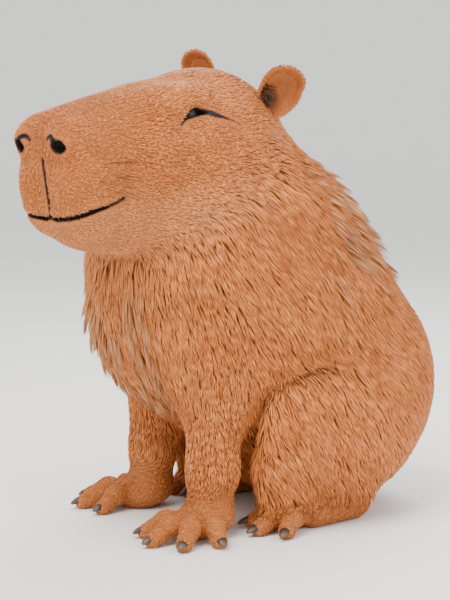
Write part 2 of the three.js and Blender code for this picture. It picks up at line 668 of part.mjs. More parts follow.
// The cuts in the order that they are made, each region with its span across the body
const identity = new THREE.Matrix4();
const FORE_SPAN = [34, 190];
const HIND_SPAN = [64, 200];
const THIGH_SPAN = [86, 220];
const cuts = [
  { name: 'head', span: [-160, 160], frame: headMatrix,
    corners: [[-360, -36], [-112, -36], [-60, 20], [16, 130], [40, 260], [-360, 260]] },
  { name: 'neck', span: [-200, 200], frame: identity,
    corners: [[-330, 372], [-200, 388], [-60, 440], [110, 540], [110, 700], [-330, 700]] },
];
for (const [name, sign] of side) {
  cuts.push({ name: `forefoot_${name}`, span: mirrored(FORE_SPAN, sign), frame: identity,
    corners: [[-290, -5], [-60, -5], [-60, 50], [-290, 58]] });
  cuts.push({ name: `foreleg_${name}`, span: mirrored(FORE_SPAN, sign), frame: identity,
    corners: [[-200, 50], [-76, 50], [-74, 150], [-66, 215], [-88, 262], [-120, 276], [-160, 262],
      [-192, 215]] });
  cuts.push({ name: `hindfoot_${name}`, span: mirrored(HIND_SPAN, sign), frame: identity,
    corners: [[-90, -5], [150, -5], [150, 34], [62, 46], [20, 54], [-90, 50]] });
  cuts.push({ name: `thigh_${name}`, span: mirrored(THIGH_SPAN, sign), frame: identity,
    corners: oval([62, 158], [160, 136], -14) });
}
cuts.push({ name: 'tail', span: [-16, 16], frame: identity,
  corners: [[263, 84], [300, 84], [300, 113], [263, 113]] });
cuts.push({ name: 'rump', span: [-220, 220], frame: identity,
  corners: [[36, -5], [330, -5], [330, 430], [150, 430], [70, 320]] });

const flesh = {};
for (const { name, corners, span, frame } of cuts) flesh[name] = part(corners, ...span, frame);
flesh.torso = tidy(largest(whole), TIDY_LIMIT);

// The name of the part that a point belongs to
function partAt(point) {
  for (const { name, corners, span, frame } of cuts) {
    const p = point.clone().applyMatrix4(frame.clone().invert());
    const within = corners.every(([y, z], i) => {
      const [y2, z2] = corners[(i + 1) % corners.length];
      return (y2 - y) * (p.z - z) - (z2 - z) * (p.y - y) > 0;
    });
    if (within && p.x > span[0] && p.x < span[1]) return name;
  }
  return 'torso';
}

// A solid swelled by a distance: each corner moves until all facets round it have moved that far
function swell(solid, by) {
  const { points, faces } = meshOf(solid);
  const corners = points.map(() => ({ square: new Float64Array(6), sum: new THREE.Vector3() }));
  const triangle = new THREE.Triangle();
  const normal = new THREE.Vector3();
  for (const face of faces) {
    triangle.set(...face.map((v) => new THREE.Vector3(...points[v]))).getNormal(normal);
    const { x, y, z } = normal;
    for (const v of face) {
      [x * x, x * y, x * z, y * y, y * z, z * z].forEach((value, n) => { corners[v].square[n] += value; });
      corners[v].sum.add(normal);
    }
  }
  const moved = corners.map(({ square: [xx, xy, xz, yy, yz, zz], sum }, v) => {
    const steady = 0.03;
    const matrix = new THREE.Matrix3(xx + steady, xy, xz, xy, yy + steady, yz, xz, yz, zz + steady);
    const shift = sum.applyMatrix3(matrix.invert()).multiplyScalar(by).clampLength(0, 3 * by);
    return [points[v][0] + shift.x, points[v][1] + shift.y, points[v][2] + shift.z];
  });
  return solidOf({ points: moved, faces });
}

// The ears stand on the head and neck and keep the gap to both
const SEAT_GAP = 1.5 * PART_GAP;
const earSeat = swell(flesh.head, SEAT_GAP).add(swell(flesh.neck, SEAT_GAP));
const ears = side.map(([name, sign]) => {
  const cup = largest(ear(name, sign).add(earStem(name, sign)).subtract(earSeat));
  addPart(`ear_${name}`, cup, EAR_SKIN);
  return cup;
});

// Coat: coarse flat locks that lie down the body from nape to rump and overlap like thatch.
// Along and across say how close two roots may stand, and stations give share of length,
// share of width and height over the skin.
const LOCK = {
  long: 112, wide: 50, thick: 3.6, seat: 0.2, along: 84, across: 46, tip: 6, stray: 0.16,
  stations: [[0, 0.55, -7], [0.34, 1, -0.5], [0.7, 0.72, 1.6]],
};
const COAT_HEM = 60;            // no lock grows lower than this
const COAT_CLEAR = 30;          // and none hangs closer to the floor
const COATED = ['neck', 'torso', 'thigh_left', 'thigh_right', 'rump'];

// Seeded draws between 0 and 1
function draws(seed) {
  let state = seed;
  return () => {
    state = (state * 1664525 + 1013904223) % 4294967296;
    return state / 4294967296;
  };
}
const draw = draws(7);

// The way the hair lies at a point: down and towards the rump, flat on the surface
function lie(point) {
  const normal = outward(point);
  const way = new THREE.Vector3(0, 0.45, -0.9);
  return way.addScaledVector(normal, -way.dot(normal)).normalize();
}

// The nearest point at a height over the skin
function over(point, height) {
  const p = point.clone();
  for (let i = 0; i < 3; i++) p.addScaledVector(outward(p), height - animal(p.x, p.y, p.z));
  return p;
}

// One lock: a leaf with a flat underside and a low ridge, its root in the skin and its tip off it.
// With extra it is the room that the lock needs, larger by that much on every side.
function lock({ point, size, stray }, extra = 0) {
  const long = LOCK.long * size;
  const rings = [];
  let p = over(point, 0);
  let reached = 0;
  const stepTo = (share) => {
    const way = lie(p).applyAxisAngle(outward(p), stray);
    p = over(p.clone().addScaledVector(way, (share - reached) * long), 0);
    reached = share;
  };
  for (const [share, wide, height] of LOCK.stations) {
    if (share > reached) stepTo(share);
    const up = outward(p);
    const aside = lie(p).applyAxisAngle(up, stray).cross(up);
    const half = LOCK.wide * size * wide / 2 + 2 * extra;
    const base = p.clone().addScaledVector(up, height - extra);
    const ridge = base.clone().addScaledVector(up, LOCK.thick + 3 * extra);
    rings.push([base.clone().addScaledVector(aside, half), ridge, base.addScaledVector(aside, -half)]);
  }
  const start = rings[0][0].clone().add(rings[0][2]).multiplyScalar(0.5);
  start.addScaledVector(outward(start), LOCK.seat);
  stepTo(1 + 5 * extra / long);
  return loft(rings, start, over(p, LOCK.tip));
}

// Roots are drawn from the skin until no more fit
const roots = skinPoints.map((point) => ({ point, order: draw() })).sort((a, b) => a.order - b.order);
const kept = [];
for (const { point } of roots) {
  const name = partAt(point);
  if (!COATED.includes(name) || point.z < COAT_HEM) continue;
  const way = lie(point);
  const crowded = kept.some((other) => {
    const apart = other.point.clone().sub(point);
    if (apart.length() > LOCK.along) return false;
    const along = apart.dot(way);
    const across = apart.addScaledVector(way, -along).length();
    return (along / LOCK.along) ** 2 + (across / LOCK.across) ** 2 < 1;
  });
  if (!crowded) kept.push({ point, name, size: 0.85 + 0.3 * draw(), stray: LOCK.stray * (2 * draw() - 1) });
}

// Each part gets its own locks: they keep clear of the ears, of other parts and of their locks
const room = {};
for (const [name, solid] of Object.entries(flesh)) room[name] = swell(solid, SEAT_GAP);
let taken = wasm.Manifold.union(ears.map((cup) => swell(cup, SEAT_GAP)));
for (const name of COATED) {
  const free = kept.filter((root) => {
    const blade = lock(root);
    return root.name === name && blade.boundingBox().min[2] > COAT_CLEAR && blade.intersect(taken).isEmpty();
  });
  const others = Object.keys(room).filter((other) => other !== name).map((other) => room[other]);
  const coat = wasm.Manifold.union(free.map((root) => lock(root))).subtract(wasm.Manifold.union(others));
  flesh[name] = largest(flesh[name].add(coat));
  taken = taken.add(wasm.Manifold.union(free.map((root) => lock(root, SEAT_GAP))));
}

// Claws: blunt, thick and hoof-like, each curved down from the end of its toe.
// With extra it is the bed that the claw sits in, wider by that much.
function claw(start, dir, long, extra) {
  const aside = new THREE.Vector3(-dir[1], dir[0], 0);
  const sides = 6;
  const spans = 3;
  const rings = [];
  for (let r = 0; r <= spans; r++) {
    const t = r / spans;
    const size = (CLAW_RADIUS + extra) * Math.sqrt(1 - 0.88 * t * t);
    const [x, y] = start.map((value, n) => value + dir[n] * long * t);
    const centre = new THREE.Vector3(x, y, CLAW_HIGH - CLAW_DROP * t * t);
    rings.push(Array.from({ length: sides }, (_, i) => {
      const a = (i + 0.5) * 2 * Math.PI / sides;
      const rise = new THREE.Vector3(0, 0, size * 0.75 * Math.sin(a));
      return centre.clone().addScaledVector(aside, size * Math.cos(a)).add(rise);
    }));
  }
  const cap = (ring, step) => ring.reduce((sum, p) => sum.add(p), new THREE.Vector3()).divideScalar(sides)
    .add(new THREE.Vector3(dir[0] * step, dir[1] * step, 0));
  return loft(rings, cap(rings[0], -extra), cap(rings[spans], 2 + extra));
}

for (const [foot, toes, long] of [['forefoot', FORE_TOES, FORE_CLAW], ['hindfoot', HIND_TOES, HIND_CLAW]]) {
  for (const [name, sign] of side) {
    toes.fan.forEach(([degrees, length], n) => {
      const { end, dir } = toeLine(toes, degrees, length - 2);
      const heading = [sign * dir[0], dir[1]];
      const start = [sign * end[0], end[1]];
      const bed = claw(start, heading, long, PART_GAP);
      flesh[`${foot}_${name}`] = flesh[`${foot}_${name}`].subtract(bed);
      addPart(`${foot}_claw_${name}_${n + 1}`, claw(start, heading, long, 0), HORN);
    });
  }
}

for (const [name, solid] of Object.entries(flesh)) {
  addPart(name, largest(solid), name.includes('foot') ? FOOT_SKIN : COAT);
}

// The animal is centred over the middle of its own box
const box = new THREE.Box3().setFromObject(animalGroup);
animalGroup.position.set(-(box.min.x + box.max.x) / 2, -(box.min.y + box.max.y) / 2, 0);

export default model;
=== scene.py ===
# A capybara at life size, sitting on its haunches: skin, eyes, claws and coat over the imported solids.
import json

import bpy
import numpy as np
from mathutils import Matrix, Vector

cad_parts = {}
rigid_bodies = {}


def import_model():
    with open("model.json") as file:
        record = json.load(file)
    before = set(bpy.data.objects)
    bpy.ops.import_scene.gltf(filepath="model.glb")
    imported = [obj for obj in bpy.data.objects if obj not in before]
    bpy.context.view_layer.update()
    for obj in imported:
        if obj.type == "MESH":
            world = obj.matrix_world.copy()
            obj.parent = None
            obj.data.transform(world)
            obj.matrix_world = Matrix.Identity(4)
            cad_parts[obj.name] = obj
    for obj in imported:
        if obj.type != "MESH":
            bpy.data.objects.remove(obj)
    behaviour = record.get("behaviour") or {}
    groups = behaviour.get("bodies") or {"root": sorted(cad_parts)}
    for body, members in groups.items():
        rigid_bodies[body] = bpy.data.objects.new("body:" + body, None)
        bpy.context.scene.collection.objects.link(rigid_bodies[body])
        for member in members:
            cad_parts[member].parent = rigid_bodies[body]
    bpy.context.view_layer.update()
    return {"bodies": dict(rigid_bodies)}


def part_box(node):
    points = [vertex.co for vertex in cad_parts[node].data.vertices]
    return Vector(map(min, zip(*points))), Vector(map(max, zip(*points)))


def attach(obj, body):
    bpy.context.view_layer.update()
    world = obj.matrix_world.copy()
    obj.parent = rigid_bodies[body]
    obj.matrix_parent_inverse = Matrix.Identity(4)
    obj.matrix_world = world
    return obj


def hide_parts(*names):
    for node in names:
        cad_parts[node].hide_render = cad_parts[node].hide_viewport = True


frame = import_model()


# Flesh: the muscle and fat that give the animal its barrel shape, blunt head and heavy haunches.
# It is told in millimetres as named masses that run into each other with soft fillets, facing -Y.
# Points are arrays of three rows: p of the whole animal, h in the head's frame, e in an eye's or ear's.
HEAD_SCALE = 1.17
HEAD_AT = (0, -24, 462)
HEAD_DOWN = 9
HEAD_ASIDE = 15
FLOOR_SINK = 3
KNUCKLE_HIGH = 24
HAUNCH_FILLET = 12
FOLD_DEEP = 7
FOLD_WIDE = 8


def column(values):
    """Numbers as one column, to go with points that are kept as rows of X, Y and Z."""
    return np.array(values, np.float32)[:, None]


def length(p):
    """The length of each column."""
    return np.sqrt(np.einsum("ij,ij->j", p, p))


def bump(x):
    """A bell: one at zero, about a third at one and next to nothing past two."""
    return np.exp(-x * x)


def ramp(low, high, x):
    """Zero before low, one past high, and a smooth S between them."""
    t = np.clip((x - low) / (high - low), 0, 1)
    return t * t * (3 - 2 * t)


def turn(yaw, pitch, roll=0):
    """Yaw about Z, then pitch about X, then roll about Y, in degrees, as one matrix."""
    (sz, sx, sy), (cz, cx, cy) = [f(np.radians([yaw, pitch, roll])) for f in (np.sin, np.cos)]
    about_z = np.array([[cz, -sz, 0], [sz, cz, 0], [0, 0, 1]])
    about_x = np.array([[1, 0, 0], [0, cx, -sx], [0, sx, cx]])
    about_y = np.array([[cy, 0, sy], [0, 1, 0], [-sy, 0, cy]])
    return (about_z @ about_x @ about_y).astype(np.float32)


def round_mass(p, at, radii, pitch=0, yaw=0):
    """Rough distance to an ellipsoid: the point's reach as a share of the radii, times how far that is from
    one, over the slope of that share."""
    q = turn(yaw, pitch).T @ (p - column(at)) / column(radii)
    near = length(q) + 1e-6
    return near * (near - 1) / (length(q / column(radii)) + 1e-9)


def limb_mass(p, start, end, start_radius, end_radius, flat=1):
    """A rod with round ends: distance to the line, less a radius that runs evenly from end to end."""
    way = column(end) - column(start)
    t = np.clip(way.T @ (p - column(start)) / (way ** 2).sum(), 0, 1)[0]
    off = (p - column(start) - way * t) / column((flat, 1, 1))
    return length(off) - (start_radius + (end_radius - start_radius) * t)


def block_mass(p, at, half, edge, pitch, narrow):
    """A box with round edges, narrower towards its top by the share narrow."""
    q = turn(0, pitch).T @ (p - column(at))
    q[0] /= np.clip(1 - narrow * q[2] / half[2], 0.4, 1.6)
    q = np.abs(q) - column(half) + edge
    return length(np.maximum(q, 0)) + np.minimum(q.max(0), 0) - edge


def soften(a, b, width):
    """The nearer of two distances, with a fillet of this width where they are alike."""
    h = np.maximum(width - np.abs(a - b), 0) / max(width, 1e-6)
    return np.minimum(a, b) - h * h * width * 0.25


def mirrored(p):
    """Points of the right half brought over to the left."""
    return np.concatenate([np.abs(p[:1]), p[1:]])


def blend(p, masses):
    """Masses joined one after another, each given with its fillet and as one or a pair."""
    total = None
    for fillet, number, mass, *sizes in masses:
        near = mass(mirrored(p) if number == 2 else p, *sizes)
        total = near if total is None else soften(total, near, fillet)
    return total


HEAD = [
    (0, 1, round_mass, (0, -72, 92), (70, 98, 70)),                    # cranium
    (40, 1, block_mass, (0, -208, 74), (57, 82, 71), 30, 1, 0.12),     # deep square muzzle
    (25, 1, round_mass, (0, -162, 128), (40, 112, 27), 1),             # bridge of the nose
    (14, 2, round_mass, (35, -258, 62), (30, 36, 44)),                 # pads of the upper lip
    (14, 2, round_mass, (33, -268, 117), (22, 26, 21)),                # wings of the nose
    (30, 2, round_mass, (52, -98, 56), (37, 76, 72)),                  # cheek
    (25, 2, round_mass, (58, -136, 94), (15, 46, 19)),                 # cheek bone
    (26, 2, round_mass, (46, -122, 136), (16, 32, 12), 0, -8),         # brow
    (16, 1, round_mass, (0, -222, 6), (40, 54, 27), -4),               # chin and lower lip
    (30, 2, limb_mass, (26, -205, 8), (46, -95, 0), 27, 42),           # jaw
    (40, 1, round_mass, (0, -40, 40), (78, 95, 84)),                   # throat and nape
]
TRUNK = [
    (0, 1, round_mass, (0, 105, 182), (158, 182, 184)),                # rump
    (60, 1, round_mass, (0, 10, 250), (160, 170, 175)),                # belly
    (60, 1, round_mass, (0, 30, 330), (140, 160, 165), 25),            # loin
    (60, 1, round_mass, (0, -40, 360), (144, 160, 165), 15),           # ribs
    (60, 1, round_mass, (0, -142, 325), (116, 114, 150)),              # breast
    (50, 2, round_mass, (78, -110, 350), (64, 90, 125), 10),           # shoulder
    (60, 1, round_mass, (0, -30, 435), (118, 135, 105)),               # withers
    (50, 1, limb_mass, (0, -66, 440), (0, -86, 525), 122, 102),        # neck
    (50, 1, limb_mass, (0, -150, 400), (8, -170, 470), 94, 70),        # throat
    (30, 2, round_mass, (84, -134, 270), (46, 62, 85)),                # upper arm
    (8, 1, round_mass, (0, 264, 98), (12, 16, 10)),                    # stub of the tail
]
HAUNCH = [
    (0, 2, round_mass, (120, 74, 158), (64, 142, 124), -14, 5),        # thigh
    (25, 2, round_mass, (124, -12, 100), (46, 58, 80), -20),           # knee
]
FORE_TOES = dict(ball=(98, -136), reach=(24, 26), thick=16, tip=12,
                 fan=((-18, 54), (14, 64), (46, 60), (82, 44)))
HIND_TOES = dict(ball=(118, 8), reach=(24, 20), thick=17, tip=12.5,
                 fan=((-17, 48), (12, 58), (42, 48)))


def toe_line(foot, degrees, long):
    """A toe's start, end and heading on the floor. It leaves the ball of the foot at its angle in the fan."""
    heading = np.array([np.sin(np.radians(degrees)), -np.cos(np.radians(degrees))])
    start = np.array(foot["ball"]) + np.array(foot["reach"]) * heading
    return start, start + long * heading, heading


def toe_masses(foot):
    """Two rods for each toe of a foot: up to the knuckle, and from it down to the tip."""
    masses = []
    for degrees, long in foot["fan"]:
        start, end, _ = toe_line(foot, degrees, long)
        knuckle = (*(start + end) / 2, KNUCKLE_HIGH)
        thick = foot["thick"]
        masses.append((7, 2, limb_mass, (*start, KNUCKLE_HIGH - FLOOR_SINK), knuckle, thick, thick - 2))
        masses.append((7, 2, limb_mass, knuckle, (*end, foot["tip"] - FLOOR_SINK), thick - 2, foot["tip"]))
    return masses


FORELEG = [
    (0, 2, limb_mass, (88, -108, 290), (92, -114, 220), 58, 50),       # shoulder end
    (25, 2, limb_mass, (92, -114, 220), (94, -120, 92), 49, 34),       # forearm
    (20, 2, limb_mass, (94, -120, 92), (95, -124, 42), 33, 32),        # wrist
    (18, 2, round_mass, (98, -136, 25 - FLOOR_SINK), (42, 43, 25), 8),  # ball of the foot
    *toe_masses(FORE_TOES),
]
HINDFOOT = [
    (0, 2, limb_mass, (104, 98, 30 - FLOOR_SINK), (114, 24, 30 - FLOOR_SINK), 30, 33, 1.2),
    *toe_masses(HIND_TOES),
]
HEAD_TURN = turn(HEAD_ASIDE, HEAD_DOWN)


def into_head(p):
    """Points in the head's own frame: nose along -Y, zero height at the line of the lower jaw."""
    return HEAD_TURN.T @ (p - column(HEAD_AT)) / HEAD_SCALE


def flank_fold(p, trunk, haunch):
    """How near a point is to the fold along the front of the haunch, from zero to one. The fold is where both
    are as near, and fades out towards the rump, the floor and the belly."""
    near = bump((haunch - trunk) / FOLD_WIDE)
    return near * ramp(70, 10, p[1]) * ramp(20, 50, p[2]) * ramp(60, 90, np.abs(p[0]))


def distances(p):
    """Rough distances to the trunk, the forelegs, the hind feet and the head. The haunch is drawn up against
    the trunk with a fold of loose skin along its front."""
    trunk = blend(p, TRUNK)
    haunch = blend(p, HAUNCH)
    trunk = soften(trunk, haunch, HAUNCH_FILLET) + FOLD_DEEP * flank_fold(p, trunk, haunch)
    return trunk, blend(p, FORELEG), blend(p, HINDFOOT), blend(into_head(p), HEAD)


# Features of the head: eyes half closed behind thick lids, comma nostrils, a cleft lip and a wide mouth.
# Each is a groove or a ball in the head's own frame, placed on the surface of the masses.
# Ears stand on flattened stems at the back of the skull: foot and turn of each are told as for a left ear.
EYE_RADIUS = 15
EYE_ROOM = 1.6  # how far the slit is cut in past the ball's surface
EYE_AT = (59.5, -126, 118)
LID_THICK = 2.6
LID_HALF = 17.5  # half the slit's length
LID_RISE = (9.5, 1)  # how high its upper and lower edges arch
LID_CORNER = 13  # how far the creases run on past its corners
LID_LOW = -4  # height of its corners
LID_FLARE = 30  # the way out over which it doubles in size
LID_FILLET = 8
LID_CREASE = 2.4
LID_CREASE_UP = 11.5
LID_CREASE_BOW = 0.020
LID_ROLL = 1.3
LID_RIM = 0.9
UNDER_HOLLOW = 2.4
UNDER_CREASE = 1.0
UNDER_CREASE_DOWN = 10.5
UNDER_CREASE_BOW = 0.012
CORNER_HALF = (0.9, 2.1)  # half the width of the front and back crease
CORNER_START = 5  # how far before the slit's corners they start
SLIT_FROM = 8  # how far out the slit has the size told here
EYE_TURN = turn(12, 0, -8)
EARS = {1: ((60, 0, 100), turn(46, 12, 38)), -1: ((56, 6, 114), turn(-8, -4, 12))}
EAR_TALL = 73.5
EAR_WIDE = 71.5
EAR_DEEP = 17
EAR_THICK = 4.5
EAR_NOTCH = 0.10
EAR_ROLL = 2.4
EAR_FOLD = 3.0
EAR_RIDGE = 2.2
STEM_FLAT = 0.5
NOSTRIL_AT = (28, -235, 112)
NOSTRIL_SIZE = (11, 17, 8.5)
NOSTRIL_TAIL = 19
TAIL_GROOVE = 2.4
TAIL_CLOSES = 1.4
NOSTRIL_FULL = 1.5
NOSTRIL_EDGE = 1.6
MOUTH_TURN = 1.25  # radians round the muzzle from the middle to a corner
MOUTH_FRONT = 292  # how far forward the line starts out
MOUTH_BACK = 82  # how much less at the corners
MOUTH_HIGH = 30
MOUTH_SMILE = 14
MOUTH_GROOVE = 2.7
MOUTH_CLOSES = 1.3
MOUTH_SUNK = 1.9  # depth of the groove's middle under the skin
LIP_FULL = 1.5
CLEFT_GROOVE = 1.5
CLEFT_SUNK = 0.7
CLEFT_FULL = 0.9
GROOVE_EDGE = 1.2
FACE_DEPTH = 2.4


def on_head(start, way, sunk=0, reach=170, halvings=20):
    """Where lines from inside the head come to a depth under its skin, found by halving their reach."""
    near = np.zeros(start.shape[1], np.float32)
    far = np.full(start.shape[1], reach, np.float32)
    for _ in range(halvings):
        middle = (near + far) / 2
        inside = blend(start + way * middle, HEAD) < -FACE_DEPTH - sunk
        near = np.where(inside, middle, near)
        far = np.where(inside, far, middle)
    return start + way * near


def mouth_line(share):
    """The mouth's line by its share from corner to corner: round the muzzle, up at the ends and the cleft."""
    angle = np.abs(share) * MOUTH_TURN
    along = MOUTH_FRONT - MOUTH_BACK * (1 - np.cos(angle)) / (1 - np.cos(MOUTH_TURN))
    height = MOUTH_HIGH + MOUTH_SMILE * share ** 2 + 2 * bump(12 * share)
    start = np.stack([0 * share, -np.minimum(along, 236), height])
    way = np.stack([np.sign(share) * np.sin(angle), -np.cos(angle), 0 * share])
    return on_head(start, way, MOUTH_SUNK)


def nostril_line(share):
    """The nostril's tail: from the hole over in an arch towards the middle of the nose."""
    start = column(NOSTRIL_AT) + np.stack([-NOSTRIL_TAIL * share, 0 * share, 4 + 7 * np.sin(2.7 * share)])
    return on_head(start, column((0.12, -1, 0)))


def cleft_line(share):
    """The cleft of the upper lip, straight down from between the nostrils to the mouth."""
    start = np.stack([0 * share, 0 * share - 220, 97 - 63 * share])
    return on_head(start, column((0, -1, 0)), CLEFT_SUNK)


MOUTH_LINE = mouth_line(np.linspace(-1, 1, 41, dtype=np.float32))
NOSTRIL_TAIL_LINE = nostril_line(np.linspace(0, 1, 9, dtype=np.float32))
NOSTRIL_HOLE = on_head(column(NOSTRIL_AT), column((0.12, -1, 0)))[:, 0]
NOSTRIL_HALF = np.array(NOSTRIL_SIZE) / HEAD_SCALE
CLEFT_LINE = cleft_line(np.linspace(0, 1, 9, dtype=np.float32))


def off_line(h, line):
    """Distance from each point to a line of short straight steps, and the share of the line up to there."""
    best = np.full(h.shape[1], 1e6, np.float32)
    share = np.zeros(h.shape[1], np.float32)
    steps = line.shape[1] - 1
    for i in range(steps):
        way = line[:, i + 1:i + 2] - line[:, i:i + 1]
        off = h - line[:, i:i + 1]
        t = np.clip(way.T @ off / (way ** 2).sum(), 0, 1)[0]
        near = length(off - way * t)
        share = np.where(near < best, (i + t) / steps, share)
        best = np.minimum(best, near)
    return best, share


def in_eye(h):
    """Points in the left eye's frame, in millimetres: X out of the head, Y back, Z up. The right eye is its
    mirror image."""
    return EYE_TURN.T @ (mirrored(h) - column(EYE_AT)) * HEAD_SCALE


def in_ear(h, side):
    """Points in an ear's frame, in millimetres: the cup opens to -Y and stands up along Z."""
    at, facing = EARS[side]
    return facing.T @ (h * column((side, 1, 1)) - column(at)) * HEAD_SCALE


def out_of_head(h):
    """Points of the head's own frame in millimetres of the whole animal."""
    return HEAD_TURN @ h * HEAD_SCALE + column(HEAD_AT)


def out_of_ear(e, side):
    """Points of an ear's frame in millimetres of the whole animal."""
    at, facing = EARS[side]
    return out_of_head((facing @ e / HEAD_SCALE + column(at)) * column((side, 1, 1)))


def ear_stem(h):
    """The flattened root of each ear, from the back of its cup down into the head."""
    stems = []
    for side in EARS:
        flat = in_ear(h, side) * column((STEM_FLAT, 1, 1))
        stems.append(limb_mass(flat, (0, 21, -23), (0, 20, 16), 11, 5))
    return np.minimum(*stems) * STEM_FLAT


def off_slit(e):
    """Distance to the slit between the lids: a crescent that arches up and flares towards the outside."""
    flare = 1 + (e[0] - SLIT_FROM) / LID_FLARE
    fall = 1 - (e[1] / flare / LID_HALF) ** 2
    high = (e[2] - LID_LOW) / flare
    return np.maximum(high - LID_RISE[0] * fall, LID_RISE[1] * fall - high) * flare


def off_corners(e):
    """Distance to the creases that carry the slit's arch on past its corners, each to a point. They have no
    groove
    of their own: bare dark skin and near-black painted shade draw them.
    """
    flare = 1 + (e[0] - SLIT_FROM) / LID_FLARE
    back = np.abs(e[1] / flare)
    arch = (e[2] - LID_LOW) / flare - sum(LID_RISE) / 2 * (1 - (back / LID_HALF) ** 2)
    past = np.maximum(back - LID_HALF - LID_CORNER, LID_HALF - CORNER_START - back)
    half = np.where(e[1] > 0, CORNER_HALF[1], CORNER_HALF[0])
    return np.maximum(np.abs(arch) - half + (half + 0.8) * ramp(LID_HALF, LID_HALF + LID_CORNER, back), past)


def tail_groove(along):
    """Half the width of the groove that each nostril's tail is, closing towards its end."""
    return TAIL_GROOVE - TAIL_CLOSES * along


def mouth_groove(share):
    """Half the width of the mouth's groove, closing over its last part to a fine crease at each corner."""
    return MOUTH_GROOVE - MOUTH_CLOSES * ramp(0.8, 1.0, np.abs(2 * share - 1))


def only_where(close, function, h, near):
    """The distance, changed by the function for the close points and left as it is for the others."""
    near = near.copy()
    if close.any():
        near[close] = function(h[:, close], near[close])
    return near


def cut(a, b, width):
    """The distance a with b taken out of it, its edge rounded over this width."""
    return -soften(-a, b, width)


def carve(h, near):
    """The distance with nostrils, lip cleft and mouth cut in, and the flesh full beside them."""
    m = mirrored(h)
    mouth, share = off_line(h, MOUTH_LINE)
    near = near - LIP_FULL * bump((mouth - 7) / 4) * ramp(1.0, 0.9, np.abs(2 * share - 1))
    cleft, down = off_line(h, CLEFT_LINE)
    near = near - CLEFT_FULL * bump((cleft - 5) / 3.5) * ramp(0, 0.2, down)
    hole = round_mass(m, NOSTRIL_HOLE, NOSTRIL_HALF)
    near = near - NOSTRIL_FULL * bump((hole - 3) / 3)
    near = cut(near, mouth - mouth_groove(share), GROOVE_EDGE)
    near = cut(near, cleft - CLEFT_GROOVE, GROOVE_EDGE)
    tail, along = off_line(m, NOSTRIL_TAIL_LINE)
    near = cut(near, tail - tail_groove(along), GROOVE_EDGE)
    return cut(near, hole, NOSTRIL_EDGE)


def lids(h, near):
    """Adds the lids over the eyeball, the fold above them and the hollow below, and cuts the slit."""
    e = in_eye(h)
    out, back, up = e
    far = length(e)
    near = near + UNDER_HOLLOW * bump(back / 26) * bump((up + 17) / 7)
    near = soften(near, far - (EYE_RADIUS + LID_THICK), LID_FILLET)
    arch = up - LID_CREASE_UP + LID_CREASE_BOW * back ** 2
    near = near + LID_CREASE * bump(arch / 1.9) * bump(back / 20)
    near = near - LID_ROLL * bump((arch - 4.8) / 3) * bump(back / 24)
    under = up + UNDER_CREASE_DOWN - UNDER_CREASE_BOW * back ** 2
    near = near + UNDER_CREASE * bump(under / 1.8) * bump(back / 17)
    slit = off_slit(e)
    near = near - LID_RIM * bump((slit - 2.0) / 1.6) * ramp(4, 9, out)
    hole = np.maximum(np.maximum(slit, EYE_RADIUS - EYE_ROOM - far), 4 - out)
    return cut(near, hole, 0.9)


# Skin: one hide from nose to rump, thin and tan under the coat, bare and dark at lips, nostrils and lids.
# It lies inside the solids by the depth of the coat and takes the place of all of their flesh.
# Its mesh is the surface where the masses' distance plus that depth is zero, one vertex to a grid cell.
COAT_DEPTH = 8.5
LEG_DEPTH = 4.0
FOOT_DEPTH = 1.2
FORELEG_FILLET = 28
HINDFOOT_FILLET = 14
NECK_FILLET = 38
EAR_FILLET = 6


def shares(p, near):
    """How far each point belongs to the head, to a foot and to a leg, from zero to one."""
    trunk, foreleg, hindfoot, head = near
    of_head = ramp(-26, 26, np.minimum(trunk, foreleg) - head)
    limb = np.minimum(foreleg, hindfoot)
    of_leg = ramp(-26, 24, trunk - limb) * (1 - of_head)
    of_foot = of_leg * ramp(100, 46, p[2])
    return of_head, of_foot, of_leg


def coat_depth(p, near):
    """Depth of the coat: deep on the body, less on the legs and thin on face and feet."""
    of_head, of_foot, of_leg = shares(p, near)
    depth = COAT_DEPTH + (LEG_DEPTH - COAT_DEPTH) * of_leg
    depth = depth + (FACE_DEPTH - depth) * of_head
    return depth + (FOOT_DEPTH - depth) * of_foot


def skin_distance(p):
    """Distance to the skin: the masses run together, sunk by the coat's depth, with the head's features."""
    near = distances(p)
    trunk, foreleg, hindfoot, head = near
    h = into_head(p)
    total = soften(soften(trunk, foreleg, FORELEG_FILLET), hindfoot, HINDFOOT_FILLET)
    total = soften(total, head, NECK_FILLET)
    total = soften(total, ear_stem(h), EAR_FILLET) + coat_depth(p, near)
    total = only_where((np.abs(total) < 24) & (h[1] < -150), carve, h, total)
    total = only_where((np.abs(total) < 30) & (length(in_eye(h)) < 60), lids, h, total)
    return np.maximum(total, -p[2])


def in_slices(function, p, size=40000):
    """The function's result over many points, worked out a slice at a time to keep it quick."""
    return np.concatenate([function(p[:, i:i + size]) for i in range(0, p.shape[1], size)], -1)


def slope(p, step=0.5):
    """Distance to the skin, and the way it grows, from small steps along each axis."""
    here = in_slices(skin_distance, p)
    grow = [in_slices(skin_distance, p + step * column(axis)) - here for axis in np.eye(3)]
    return here, np.stack(grow) / step


def settle(p, height, most=4):
    """Moves points along the slope until they stand at a height over the skin. Gives them and the way up."""
    here, grow = slope(p)
    step = (height - here) / np.maximum((grow ** 2).sum(0), 0.3)
    p = p + grow * np.clip(step, -most, most)
    return p, grow / (length(grow) + 1e-6)


def grid_lines(*marks):
    """Lines from the first mark to the last, each given with the spacing that holds from there on."""
    spans = [np.linspace(a, b, round((b - a) / step), endpoint=False)
             for (a, step), (b, _) in zip(marks, marks[1:])]
    return np.append(np.concatenate(spans), marks[-1][0])


